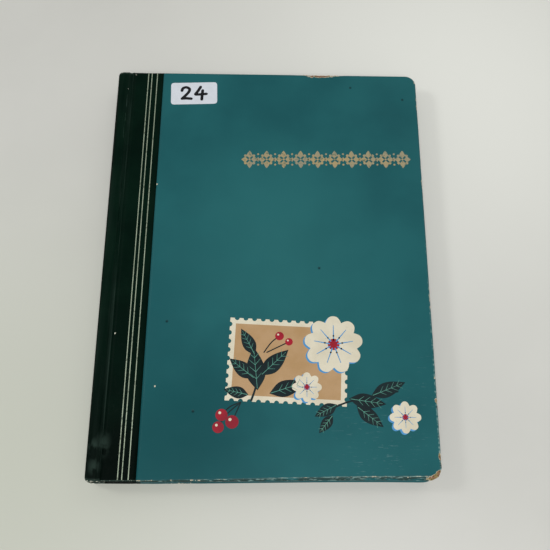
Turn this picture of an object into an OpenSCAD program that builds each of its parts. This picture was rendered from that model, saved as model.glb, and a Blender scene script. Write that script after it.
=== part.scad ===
// Stock album for stamps: quarter cloth case, two boards, hollow spine,
// eight black card leaves with clear strips, bound on cloth guards.
// +Z up, closed on its rear cover, spine towards -X, head towards +Y.
// Origin at the middle of the underside. Millimetres.

/* [Album] */
// Width from the spine's outer face to the fore edge
album_w = 230; // [160:1:320]
// Height over the spine's caps, tail to head
album_h = 308; // [220:1:400]
// Thickness of the closed album, without the label
album_t = 20; // [16:0.5:60]

/* [Covers] */
// Thickness of each cover board
board_t = 2.4; // [1.5:0.1:4]
// Thickness of the laminated cover paper with its glue
paper_t = 0.35; // [0.2:0.05:0.6]
// Thickness of the grained book cloth
cloth_t = 0.3; // [0.2:0.05:0.6]
// Thickness of the pastedown inside each cover
pastedown_t = 0.2; // [0.1:0.05:0.5]
// Radius of the fore edge corners
corner_r = 8; // [1:0.5:20]
// Radius of the board's corners at the joint
joint_corner_r = 1.5; // [0.5:0.5:6]
// Cloth seen on each cover, measured from the spine's face
quarter_w = 33.2; // [20:0.1:80]
// Width of the turn-ins inside each cover
turn_in = 15; // [8:1:25]
// Margin from the board's edge to the pastedown
pastedown_margin = 4; // [2:0.5:8]
// Radius of the pastedown's fore edge corners
pastedown_r = 4; // [0.5:0.5:8]
// Gap from the pastedown to the board's edge at the joint
pastedown_gap = 0.5; // [0.2:0.1:2]
// Width of the crushed bevel along the tail edge
tail_bevel_w = 1.2; // [0:0.1:5]
// Depth of the crushed bevel along the tail edge
tail_bevel_h = 0.5; // [0:0.1:2]

/* [Joint and spine] */
// Spine's face to the board's edge
board_setback = 10; // [8:0.5:16]
// Depth of the groove beside the board
groove_d = 1; // [0:0.1:1.6]
// Width of the groove
groove_w = 3.6; // [2:0.1:6]
// Thickness of the spine strip
spine_board_t = 2; // [1:0.1:3]
// Thickness of the open-weave lining behind the spine strip
lining_t = 0.3; // [0.1:0.05:1]
// How far the cloth caps stand out at head and tail
cap_out = 0.8; // [0:0.1:2]
// How much lower the spine strip is than the covers, at each end
spine_board_gap = 0.7; // [0.3:0.1:3]
// Margin from the covers' edges to the endpaper's inner hinge
hinge_paper_margin = 6; // [2:0.5:15]
// Depth of the bound edges of the leaves, spine to fore edge
bound_d = 2.3; // [1.5:0.1:6]
// Diameter of the head and tail bands
band_d = 2.2; // [1:0.1:4]

/* [Leaves] */
// Thickness of a leaf's card
card_t = 0.8; // [0.4:0.05:1.2]
// Free length of the cloth guard, from the bound edge to the card
guard_free = 12.5; // [8:0.5:20]
// How far the guard's two sides lap the card
guard_lap = 8; // [4:0.5:15]
// Thickness of the guard cloth between the card and the binding
guard_t = 0.3; // [0.2:0.05:0.5]
// Gap from the leaves to the covers' edges at head and tail
square_y = 4.4; // [2:0.1:8]
// Gap from the leaves to the covers' fore edge
square_x = 4.5; // [2:0.1:8]
// Radius of a leaf's outer corners
leaf_r = 3; // [0.5:0.5:10]
// Thickness of a clear strip with its glue line
strip_t = 0.2; // [0.1:0.05:0.4]
// Height of a clear strip
strip_h = 27.5; // [15:0.5:60]
// Margin of card above and below the strips
strip_margin = 6; // [2:0.5:20]
// Rows of clear strips on each page
strip_rows = 9; // [3:1:12]
// Thickness of the translucent sheet over each page
sheet_t = 0.1; // [0.05:0.01:0.2]

/* [Label] */
// Width of the paper label
label_w = 35.7; // [20:1:80]
// Height of the paper label
label_h = 19.5; // [10:0.2:50]
// Thickness of the paper label
label_t = 0.12; // [0.05:0.01:0.3]
// Turn of the label on the cover, degrees
label_turn = 2.2; // [-10:0.1:10]
// Label's centre, from the spine's face
label_x = 57.5; // [40:0.1:200]
// Label's centre, down from the covers' head edge
label_drop = 18.6; // [10:0.1:200]

/* [Hidden] */
leaves = 8;
fit_gap = pastedown_t;                   // play around a let-in sheet
xs = -album_w / 2;                       // the spine's outer face
xf = album_w / 2;                        // the fore edge
hy = album_h / 2 - cap_out;              // half the height of the covers
drop = paper_t - cloth_t;                // the cloth lies this much lower
cover_t = 2 * paper_t + board_t + pastedown_t;
hinge_x = cloth_t + spine_board_t / 2;   // joint axis, from the spine's face
hinge_z = drop + hinge_x;                // joint axis, from the cover's face
edge_r = spine_board_t / 2;              // round edge of the spine strip
lining_x = cloth_t + spine_board_t;
bound_x = lining_x + lining_t + lining_t / 3;
leaf_x = bound_x + bound_d;              // the leaves' hinge lines
card_x = leaf_x + guard_free;
card_w = album_w - square_x - card_x;
leaf_hy = hy - square_y;
pitch = (album_t - 2 * cover_t) / leaves;
strip_y0 = -leaf_hy + strip_margin;
strip_pitch = (2 * (leaf_hy - strip_margin) - strip_h) / (strip_rows - 1);
teal = [0.15, 0.37, 0.37];
green_black = [0.05, 0.10, 0.085];
board_grey = [0.55, 0.47, 0.36];
white = [0.79, 0.82, 0.85];
ivory = [0.86, 0.84, 0.78];
black = [0.07, 0.07, 0.075];
clear = [0.80, 0.86, 0.90, 0.4];
linen = [0.10, 0.10, 0.10];
mull = [0.82, 0.79, 0.70];

function leaf_z(i) = cover_t + (i - 0.5) * pitch;

function arc(cx, cy, r, a0, a1, n = 8) =
    [for (k = [0:n]) [cx + r * cos(a0 + (a1 - a0) * k / n),
                      cy + r * sin(a0 + (a1 - a0) * k / n)]];

// A plan outline with one radius on its spine side and one on its fore edge.
function plan(x0, x1, h, r0, r1) = concat(
    arc(x1 - r1, -h + r1, r1, -90, 0),
    arc(x1 - r1, h - r1, r1, 0, 90),
    arc(x0 + r0, h - r0, r0, 90, 180),
    arc(x0 + r0, -h + r0, r0, 180, 270));

// The groove's depth at a distance x from the spine's face.
function groove(x) =
    let (u = (x - (board_setback - groove_w)) / groove_w)
    u <= 0 || u >= 1 ? 0 : groove_d * (1 - cos(360 * u)) / 2;

// Turns a rear cover piece into a front cover piece.
module at_front() translate([0, 0, album_t]) mirror([0, 0, 1]) children();

// Keeps what is inside the crushed tail bevel, set in by d.
module bevelled(d) intersection() {
    children();
    translate([xs - 5, 0, 0]) rotate([90, 0, 90]) linear_extrude(album_w + 10)
        polygon([[-hy + d, tail_bevel_h + d], [-hy + d + tail_bevel_w, d],
                 [hy + 5, d], [hy + 5, cover_t + 5], [-hy + d, cover_t + 5]]);
}

// A sheet standing on its profile in X and Z, through the height 2h.
module sheet(points, h) translate([xs, h, 0]) rotate([90, 0, 0])
    linear_extrude(2 * h) polygon(points);

module board() color(board_grey) bevelled(paper_t)
    translate([0, 0, paper_t]) linear_extrude(board_t)
        polygon(plan(xs + board_setback, xf - paper_t, hy - paper_t,
                     joint_corner_r, corner_r - paper_t));

// The space inside the turn-ins, on the board's inner face.
module window(gap) translate([xs, -hy + turn_in + gap, paper_t + board_t])
    cube([album_w - turn_in - gap, 2 * (hy - turn_in - gap), 5]);

// A covering from x0 to x1 that wraps the board and turns in.
module covering(x0, x1, d, r1) difference() {
    bevelled(d) intersection() {
        translate([0, 0, d]) linear_extrude(2 * paper_t + board_t - d)
            polygon(plan(xs, xf - d, hy - d, joint_corner_r, r1));
        translate([x0, -album_h, -1]) cube([x1 - x0, 2 * album_h, 20]);
    }
    translate([-0.01, 0, 0]) board();
    board();
    window(0);
}

module cover_paper() color(teal)
    covering(xs + quarter_w, xf, 0, corner_r);

module cover_cloth() color(green_black)
    covering(xs + board_setback, xs + quarter_w, drop, corner_r);

module pastedown() color(ivory) {
    translate([0, 0, 2 * paper_t + board_t]) linear_extrude(pastedown_t)
        polygon(plan(xs + board_setback + pastedown_gap,
                     xf - pastedown_margin, hy - pastedown_margin,
                     pastedown_r / 4, pastedown_r));
    translate([0, 0, paper_t + board_t]) linear_extrude(paper_t)
        polygon(plan(xs + board_setback + pastedown_gap,
                     xf - turn_in - fit_gap, hy - turn_in - fit_gap,
                     pastedown_r / 4, pastedown_r / 4));
}

// Grained cloth from the spine strip's edge, over the joint, to the board.
module joint_cloth() color(green_black) sheet(concat(
    arc(hinge_x, hinge_z, hinge_x, 180, 270, 6),
    [for (k = [0:18]) let (x = board_setback - groove_w * (1 - k / 18))
        [x, drop + groove(x)]],
    [for (k = [18:-1:0]) let (x = board_setback - groove_w * (1 - k / 18))
        [x, paper_t + groove(x)]],
    arc(hinge_x, hinge_z, edge_r + fit_gap / 10, 270, 180, 6)), hy - drop);

// Inner hinge of the endpaper, from the board to the bound edges.
module hinge_paper() color(ivory)
    translate([xs + bound_x, -hy + hinge_paper_margin, cover_t - pastedown_t])
        cube([board_setback + pastedown_gap / 2 - bound_x,
              2 * (hy - hinge_paper_margin), pastedown_t]);

module rear_board() board();
module rear_paper() cover_paper();
module rear_cloth() cover_cloth();
module rear_pastedown() pastedown();
module rear_joint_cloth() joint_cloth();
module rear_hinge_paper() hinge_paper();
module front_board() at_front() board();
module front_paper() at_front() cover_paper();
module front_cloth() at_front() cover_cloth();
module front_pastedown() at_front() pastedown();
module front_joint_cloth() at_front() joint_cloth();
module front_hinge_paper() at_front() hinge_paper();

module label() color(white)
    translate([xs + label_x, hy - label_drop, album_t]) rotate([0, 0, label_turn])
        linear_extrude(label_t)
            polygon(plan(-label_w / 2, label_w / 2, label_h / 2,
                         label_h / 16, label_h / 16));

// A stiff strip with round edges, each on a joint's axis.
module spine_board() color(board_grey)
    translate([xs + hinge_x, hy - spine_board_gap, 0]) rotate([90, 0, 0])
        linear_extrude(2 * (hy - spine_board_gap)) {
            translate([-edge_r, hinge_z])
                square([2 * edge_r, album_t - 2 * hinge_z]);
            for (z = [hinge_z, album_t - hinge_z])
                translate([0, z]) circle(r = edge_r, $fn = 48);
        }

module spine_cloth() color(green_black) difference() {
    translate([0, 0, hinge_z]) linear_extrude(album_t - 2 * hinge_z)
        polygon(plan(xs, xs + lining_x + cloth_t, hy + cap_out,
                     lining_x / 2, lining_x / 2));
    translate([xs + cloth_t, -hy + spine_board_gap, -1])
        cube([spine_board_t, 2 * (hy - spine_board_gap), album_t + 2]);
    translate([xs + lining_x - 0.1, -hy + turn_in, -1])
        cube([5, 2 * (hy - turn_in), album_t + 2]);
}

module spine_lining() color(mull)
    translate([xs + lining_x, -hy + turn_in + fit_gap, hinge_z])
        cube([lining_t, 2 * (hy - turn_in - fit_gap),
              album_t - 2 * hinge_z]);

// The folded edges of the guards, glued into one block.
module bound_edges() color(linen)
    translate([xs + bound_x, -leaf_hy, cover_t + fit_gap])
        cube([bound_d, 2 * leaf_hy, album_t - 2 * cover_t - 2 * fit_gap]);

module band(y) color(mull)
    translate([xs + bound_x + bound_d / 2, y, cover_t + fit_gap])
        cylinder(d = band_d, h = album_t - 2 * cover_t - 2 * fit_gap, $fn = 32);
module headband() band(leaf_hy + band_d / 2);
module tailband() band(-leaf_hy - band_d / 2);

module leaf_card(i) color(black)
    translate([0, 0, leaf_z(i) - card_t / 2]) linear_extrude(card_t)
        polygon(plan(xs + card_x, xs + card_x + card_w, leaf_hy, 0.5, leaf_r));

// Cloth guard: a single thickness that forks to hold the card's edge.
module leaf_guard(i) color(linen) translate([0, 0, leaf_z(i)])
    let (g = guard_t / 2, c = card_t / 2, o = card_t / 2 + strip_t,
         a = card_x - 1, b = card_x + guard_lap)
    sheet([[leaf_x, -g], [a - 1, -g], [a, -o], [b, -o], [b, -c],
           [card_x, -c], [card_x, c], [b, c], [b, o], [a, o], [a - 1, g],
           [leaf_x, g]], leaf_hy - 0.5);

// Clear strips, side 1 on the page facing up and side -1 on its back.
module leaf_strips(i, side) color(clear)
    for (row = [0:strip_rows - 1])
        translate([xs + card_x + guard_lap + 2.5, strip_y0 + row * strip_pitch,
                   leaf_z(i) + (side > 0 ? card_t / 2 : -card_t / 2 - strip_t)])
            cube([card_w - guard_lap - 4.5, strip_h, strip_t]);

// Translucent sheet, glued to the guard and lying over the page.
module leaf_sheet(i) color([0.92, 0.93, 0.90, 0.6]) translate([0, 0, leaf_z(i)])
    let (g = guard_t / 2, o = card_t / 2 + strip_t + 0.05,
         a = card_x - 5.5, e = card_x + card_w - 1)
    sheet([[a, g], [a + 1, g], [a + 4.4, o], [e, o], [e, o + sheet_t],
           [a + 4.3, o + sheet_t], [a + 0.9, g + sheet_t], [a, g + sheet_t]],
          leaf_hy - 1);

module leaf_1_card() leaf_card(1);
module leaf_1_guard() leaf_guard(1);
module leaf_1_strips_up() leaf_strips(1, 1);
module leaf_1_strips_down() leaf_strips(1, -1);
module leaf_1_sheet() leaf_sheet(1);
module leaf_2_card() leaf_card(2);
module leaf_2_guard() leaf_guard(2);
module leaf_2_strips_up() leaf_strips(2, 1);
module leaf_2_strips_down() leaf_strips(2, -1);
module leaf_2_sheet() leaf_sheet(2);
module leaf_3_card() leaf_card(3);
module leaf_3_guard() leaf_guard(3);
module leaf_3_strips_up() leaf_strips(3, 1);
module leaf_3_strips_down() leaf_strips(3, -1);
module leaf_3_sheet() leaf_sheet(3);
module leaf_4_card() leaf_card(4);
module leaf_4_guard() leaf_guard(4);
module leaf_4_strips_up() leaf_strips(4, 1);
module leaf_4_strips_down() leaf_strips(4, -1);
module leaf_4_sheet() leaf_sheet(4);
module leaf_5_card() leaf_card(5);
module leaf_5_guard() leaf_guard(5);
module leaf_5_strips_up() leaf_strips(5, 1);
module leaf_5_strips_down() leaf_strips(5, -1);
module leaf_5_sheet() leaf_sheet(5);
module leaf_6_card() leaf_card(6);
module leaf_6_guard() leaf_guard(6);
module leaf_6_strips_up() leaf_strips(6, 1);
module leaf_6_strips_down() leaf_strips(6, -1);
module leaf_6_sheet() leaf_sheet(6);
module leaf_7_card() leaf_card(7);
module leaf_7_guard() leaf_guard(7);
module leaf_7_strips_up() leaf_strips(7, 1);
module leaf_7_strips_down() leaf_strips(7, -1);
module leaf_7_sheet() leaf_sheet(7);
module leaf_8_card() leaf_card(8);
module leaf_8_guard() leaf_guard(8);
module leaf_8_strips_up() leaf_strips(8, 1);
module leaf_8_strips_down() leaf_strips(8, -1);
module leaf_8_sheet() leaf_sheet(8);

rear_board();
rear_paper();
rear_cloth();
rear_pastedown();
rear_joint_cloth();
rear_hinge_paper();
front_board();
front_paper();
front_cloth();
front_pastedown();
front_joint_cloth();
front_hinge_paper();
label();
spine_board();
spine_cloth();
spine_lining();
bound_edges();
headband();
tailband();
leaf_1_card();
leaf_1_guard();
leaf_1_strips_up();
leaf_1_strips_down();
leaf_1_sheet();
leaf_2_card();
leaf_2_guard();
leaf_2_strips_up();
leaf_2_strips_down();
leaf_2_sheet();
leaf_3_card();
leaf_3_guard();
leaf_3_strips_up();
leaf_3_strips_down();
leaf_3_sheet();
leaf_4_card();
leaf_4_guard();
leaf_4_strips_up();
leaf_4_strips_down();
leaf_4_sheet();
leaf_5_card();
leaf_5_guard();
leaf_5_strips_up();
leaf_5_strips_down();
leaf_5_sheet();
leaf_6_card();
leaf_6_guard();
leaf_6_strips_up();
leaf_6_strips_down();
leaf_6_sheet();
leaf_7_card();
leaf_7_guard();
leaf_7_strips_up();
leaf_7_strips_down();
leaf_7_sheet();
leaf_8_card();
leaf_8_guard();
leaf_8_strips_up();
leaf_8_strips_down();
leaf_8_sheet();
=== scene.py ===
"""Dresses a quarter-bound stamp album: covers, spine, printing, label and eight pocket leaves.

Lengths in the classes are millimetres. Along X they are counted from the spine's outer face and
along Y from the middle of the covers, and one function turns them into the frame's metres.
"""

from __future__ import annotations

import logging
import math
from dataclasses import dataclass
from enum import Enum
from typing import Callable, Iterable, Sequence

import bmesh
import bpy
from mathutils import Euler, Matrix, Vector, noise


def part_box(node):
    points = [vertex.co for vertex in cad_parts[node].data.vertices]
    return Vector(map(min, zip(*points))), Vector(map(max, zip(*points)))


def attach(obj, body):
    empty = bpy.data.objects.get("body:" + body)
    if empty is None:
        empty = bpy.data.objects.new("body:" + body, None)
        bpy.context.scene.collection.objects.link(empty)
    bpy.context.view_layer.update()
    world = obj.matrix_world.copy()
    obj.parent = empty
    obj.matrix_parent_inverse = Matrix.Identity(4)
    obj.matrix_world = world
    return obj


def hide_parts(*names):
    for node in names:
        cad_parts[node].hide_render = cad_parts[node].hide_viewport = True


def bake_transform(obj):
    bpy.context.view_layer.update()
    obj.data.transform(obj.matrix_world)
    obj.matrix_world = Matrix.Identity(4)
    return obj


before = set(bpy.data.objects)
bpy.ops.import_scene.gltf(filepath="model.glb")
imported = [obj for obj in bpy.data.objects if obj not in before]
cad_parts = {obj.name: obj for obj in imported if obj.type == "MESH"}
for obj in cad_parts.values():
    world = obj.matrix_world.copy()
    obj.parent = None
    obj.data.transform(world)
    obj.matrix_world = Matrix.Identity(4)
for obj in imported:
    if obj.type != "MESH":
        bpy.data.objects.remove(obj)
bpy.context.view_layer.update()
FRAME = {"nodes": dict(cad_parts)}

MM = 0.001
LEAVES = 8
# Where the spine's outer face lies in the frame.
SPINE_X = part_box("spine_cloth")[0].x / MM
# How far the tail edge runs out of square at the spine, and how far the spine's head is pulled out.
TAIL_OUT, HEAD_OUT = 2.35, 2.0
LOG = logging.getLogger("album")

Point = tuple[float, float]
Place = tuple[float, float, float]
Piece = bpy.types.Object
Socket = bpy.types.NodeSocket


# ---------------------------------------------------------------- sizes from the frame


@dataclass(frozen=True)
class Corner:
    """A corner of a CAD node's box in millimetres, with X counted from the spine's face."""

    x: float
    y: float
    z: float


def box(node: str) -> tuple[Corner, Corner]:
    """The lowest and the highest corner of a CAD node."""
    low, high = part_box(node)
    return tuple(Corner(c.x / MM - SPINE_X, c.y / MM, c.z / MM) for c in (low, high))


@dataclass(frozen=True)
class Sizes:
    """The album's own measures in millimetres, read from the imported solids."""

    fore: float
    half: float
    top: float
    quarter: float
    board: float
    cover: float
    paper: float
    hinge: float

    @classmethod
    def read(cls) -> "Sizes":
        """Measures the nodes that carry each size."""
        low, high = box("front_paper")
        return cls(
            fore=high.x,
            half=high.y,
            top=high.z,
            quarter=low.x,
            board=box("front_cloth")[0].x,
            cover=high.z - box("front_pastedown")[0].z,
            paper=high.z - box("front_board")[1].z,
            hinge=box("spine_cloth")[0].z,
        )


SIZES = Sizes.read()


class Cover(Enum):
    """Which of the two covers a piece belongs to, with the body it rides on."""

    REAR = "rear"
    FRONT = "front"

    @property
    def body(self) -> str:
        """The name of the CAD body."""
        return f"{self.value}_cover"

    @property
    def inward(self) -> float:
        """The Z direction from the outer face into the album."""
        return -1.0 if self is Cover.FRONT else 1.0

    def height(self, depth: float) -> float:
        """The Z of a point that lies a depth below the cover's outer face."""
        return SIZES.top - depth if self is Cover.FRONT else depth


# ---------------------------------------------------------------- node trees


def put(tree: bpy.types.NodeTree, kind: str, inputs: dict | None = None, **settings) -> bpy.types.Node:
    """Adds one node with its settings, values and links.

    Args:
        tree: The tree that gets the node.
        kind: The node's Blender type.
        inputs: Socket names or numbers, each with a value, or the node or output that feeds it.
        **settings: The node's own properties.

    Returns:
        The new node.
    """
    node = tree.nodes.new(kind)
    for name, value in settings.items():
        setattr(node, name, value)
    for key, value in (inputs or {}).items():
        if isinstance(value, bpy.types.Node):
            value = value.outputs[0]
        if isinstance(value, Socket):
            tree.links.new(value, node.inputs[key])
        else:
            node.inputs[key].default_value = value
    return node


def linear(code: str) -> tuple[float, float, float, float]:
    """Turns an sRGB hex colour into the linear one that a shader takes, with an alpha of 1."""
    shades = [int(code[k : k + 2], 16) / 255 for k in (1, 3, 5)]
    low, divisor, lift, power = 0.04045, 12.92, 0.055, 2.4
    return (*(s / divisor if s <= low else ((s + lift) / (1 + lift)) ** power for s in shades), 1.0)


class Op(Enum):
    """A step of a pattern: the node's type, its settings, its inputs in order and its output."""

    NOISE = ("TexNoise", {}, ("Vector", "Scale", "Detail"), "Fac")
    CELLS = ("TexVoronoi", {"feature": "SMOOTH_F1"}, ("Vector", "Scale"), "Distance")
    BANDS = ("TexWave", {}, ("Vector", "Scale", "Distortion", "Detail Scale"), "Fac")
    SQUEEZE = ("Mapping", {}, ("Vector", "Scale"), 0)
    AWAY = ("VectorMath", {"operation": "DISTANCE"}, (0, 1), "Value")
    STEP = (
        "MapRange", {"interpolation_type": "SMOOTHSTEP"}, ("Value", "From Min", "From Max", "To Max"), 0
    )
    TIMES = ("Math", {"operation": "MULTIPLY"}, (0, 1), 0)
    PLUS = ("Math", {"operation": "ADD"}, (0, 1), 0)
    MINUS = ("Math", {"operation": "SUBTRACT"}, (0, 1), 0)
    MOST = ("Math", {"operation": "MAXIMUM"}, (0, 1), 0)
    MIX = ("Mix", {"data_type": "RGBA"}, (0, 6, 7), 2)
    BLEND = ("Mix", {}, (0, 2, 3), 0)
    CARRIED = ("Attribute", {}, (), "Fac")
    RELIEF = ("Bump", {}, ("Height", "Distance", "Normal"), 0)


class Pattern:
    """One material's tree, on the piece's own coordinates."""

    def __init__(self, tree: bpy.types.NodeTree) -> None:
        """Starts from Object coordinates."""
        self.tree = tree
        self.place = put(tree, "ShaderNodeTexCoord").outputs["Object"]

    def __call__(self, op: Op, *values, **settings) -> Socket:
        """Adds one step.

        Args:
            op: What the step does.
            *values: Its inputs in order, where a hex code is a colour. Further ones are joined in turn.
            **settings: Further settings of its node.

        Returns:
            Its output.
        """
        kind, fixed, names, output = op.value
        if len(values) > len(names):
            values = (self(op, *values[:-1]), values[-1])
        values = [linear(v) if isinstance(v, str) else v for v in values]
        node = put(self.tree, f"ShaderNode{kind}", dict(zip(names, values)), **fixed, **settings)
        return node.outputs[output]

    def cloud(self, size: float, detail: float = 3, stretch: Sequence[float] = (1, 1, 1)) -> Socket:
        """A noise round 0.5 whose blobs have a size in millimetres, and are shorter where stretched."""
        return self(Op.NOISE, self(Op.SQUEEZE, self.place, stretch), 1 / (size * MM), detail)

    def patches(
        self, size: float, low: float, high: float, detail: float = 3, stretch: Sequence[float] = (1, 1, 1)
    ) -> Socket:
        """Soft patches: 0 where the cloud is below the low value, 1 where it is above the high one."""
        return self(Op.STEP, self.cloud(size, detail, stretch), low, high)

    def near(self, x: float, y: float, reach: float, stretch: float = 1) -> Socket:
        """A soft spot on the front cover.

        Args:
            x: Distance from the spine's face.
            y: Distance from the middle.
            reach: How far the spot reaches along X.
            stretch: How many times as far it reaches along Y.

        Returns:
            1 at the place, falling to 0 at its reach.
        """
        flat = self(Op.SQUEEZE, self.place, (1, 1 / stretch, 1))
        centre = ((SPINE_X + x) * MM, y * MM / stretch, SIZES.top * MM)
        return self(Op.STEP, self(Op.AWAY, flat, centre), reach * MM, 0)

    def layered(self, base: Socket, *layers: Sequence) -> Socket:
        """Lays colours over a base, each with the shares whose product says how much it covers."""
        for colour, *shares in layers:
            base = self(Op.MIX, self(Op.TIMES, *shares) if len(shares) > 1 else shares[0], base, colour)
        return base


@dataclass(frozen=True)
class Finish:
    """A plain finish: two close colours in a soft mottle with a fine tooth. The others build on it."""

    name: str
    colour: str
    second: str
    roughness: float = 0.6
    mottle: float = 8.0
    tooth: float = 0.4
    depth: float = 0.02
    metallic: float = 0.0
    ior: float = 1.5

    def material(self) -> bpy.types.Material:
        """Builds the material once and returns the same one after that."""
        made = bpy.data.materials.get(self.name)
        if made is None:
            made = bpy.data.materials.new(self.name)
            made.use_nodes = True
            tree = made.node_tree
            tree.nodes.clear()
            fixed = {"Roughness": self.roughness, "Metallic": self.metallic, "IOR": self.ior}
            shader = put(tree, "ShaderNodeBsdfPrincipled", fixed | self.dress(Pattern(tree)))
            put(tree, "ShaderNodeOutputMaterial", {"Surface": shader})
        return made

    def tone(
        self, p: Pattern, size: float, low: float = 0.35, high: float = 0.7, detail: float = 4
    ) -> Socket:
        """The finish's two colours in patches of a size."""
        return p(Op.MIX, p.patches(size, low, high, detail), self.colour, self.second)

    def dress(self, p: Pattern) -> dict:
        """Lays out the pattern.

        Args:
            p: The material's tree.

        Returns:
            Shader input names, each with a value or the output that feeds it.
        """
        return {
            "Base Color": self.tone(p, self.mottle, 0.35, 0.68, 5),
            "Normal": p(Op.RELIEF, p.cloud(self.tooth, 2), self.depth * MM),
        }


@dataclass(frozen=True)
class CoverPaper(Finish):
    """Varnished printed cover paper: a satin film over teal ink on white stock, glued to board.

    The varnish gives a broad soft gloss with faint smears, and where an edge has rubbed through,
    the white stock shows first and then the tan board.
    """

    pale: str = "#7d9c98"
    stock: str = "#c9c3ad"
    under: str = "#8e7f52"
    core: str = "#8c6a50"
    hollow: str = "#4b3a28"
    scratch: str = "#6f9294"
    # Painted light: a lighter teal laid over the middle of the cover.
    faded: str = "#2b6b6d"
    # Painted shade: a deeper teal laid towards the lower corner by the spine.
    deep: str = "#074549"
    # Grime together with painted shade for the pressed-down tail edge.
    grime: str = "#28362f"
    # Painted shade for the dents and for the nicks along the fore edge.
    dent: str = "#0b2024"
    dents: tuple = ((178.7, 141.6), (218.8, 131.3), (46.9, -48.8), (67.6, -110.3), (152.4, -8.5))
    nicks: tuple = ((-143.6, 2.0), (-125.5, 1.6), (-106.5, 1.4))

    def dress(self, p: Pattern) -> dict:
        """Mottled ink under painted light and shade, smears, scratches, dents with painted shade in them,
        and worn edges.
        """
        ridge, bare, tail = (p(Op.CARRIED, attribute_name=name) for name in ("rub", "bare", "press"))
        rubbing = p(Op.PLUS, ridge, p.cloud(1.5, 5, (0.45, 1, 1)))
        tearing = p(Op.PLUS, bare, p.cloud(2.6, 8))
        rubbed = p(Op.STEP, rubbing, 1.06, 1.3)
        torn = p(Op.STEP, tearing, 1.0, 1.05)
        layers = p(Op.MIX, p.patches(3.4, 0.46, 0.54), self.under, self.core)
        fibres = p(Op.MIX, p.patches(0.9, 0.52, 0.64, 4), layers, self.hollow)
        dents = p(Op.MOST, *(p.near(x, y, 1.5) for x, y in self.dents))
        nicks = p(Op.MOST, *(p.near(229.7, y, 1.5, long) for y, long in self.nicks))
        chips = p(Op.PLUS, p(Op.MOST, p.near(33.6, 56, 1.2), p.near(41.5, -93.9, 1.1)), p.cloud(0.8, 3))
        shade = p.layered(
            self.tone(p, 55, 0.3),
            # Painted light and shade: a broad lighter patch over the middle of the cover, then a broad
            # darker one towards the lower corner by the spine.
            (self.faded, p.near(118, 12, 118), 0.62),
            (self.deep, p.near(52, -128, 92), 0.75),
            # The pressed-down tail edge is a strip of up to 3 mm that carries grime, darkened further by
            # painted shade on its downturned face, and fine cuts.
            (self.grime, tail, p.patches(3.2, 0.36, 0.52, 6, (0.3, 1.6, 1)), 0.8),
            (self.pale, tail, p.patches(1.6, 0.57, 0.63, 5, (0.45, 2.0, 1)), 0.7),
            (
                self.scratch,
                p.patches(3.6, 0.65, 0.71, 4, (0.55, 6.5, 1)),
                p(Op.MOST, p.near(195, -134, 55), p.near(228, -95, 34)),
                0.55,
            ),
            # Painted shade darkens the dents and the nicks along the fore edge.
            (self.dent, p(Op.MOST, dents, p(Op.STEP, nicks, 0.1, 0.5))),
            (self.pale, rubbed, 0.8),
            (self.stock, p(Op.STEP, rubbing, 1.33, 1.42)),
            (self.stock, p(Op.STEP, chips, 0.95, 1.0)),
            (p(Op.MIX, p(Op.STEP, tearing, 1.06, 1.13), self.stock, fibres), torn),
        )
        smear = p.patches(24, 0.35, 0.75, 6, (1, 1.7, 1))
        gloss = p(Op.BLEND, smear, self.roughness, self.roughness + 0.13)
        # The fibre of cover stock is about 0.2 mm; it is drawn at 0.7 mm so that it shows.
        normal = p(Op.RELIEF, p.cloud(0.7, 3), 0.012 * MM)
        normal = p(Op.RELIEF, p.cloud(22, 2), 0.07 * MM, normal)
        normal = p(Op.RELIEF, p(Op.MINUS, 1.0, p(Op.MOST, dents, torn)), 0.16 * MM, normal)
        worn = p(Op.MOST, torn, p(Op.TIMES, rubbed, 0.7))
        return {"Base Color": shade, "Roughness": p(Op.BLEND, worn, gloss, 0.85), "Normal": normal}


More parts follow.
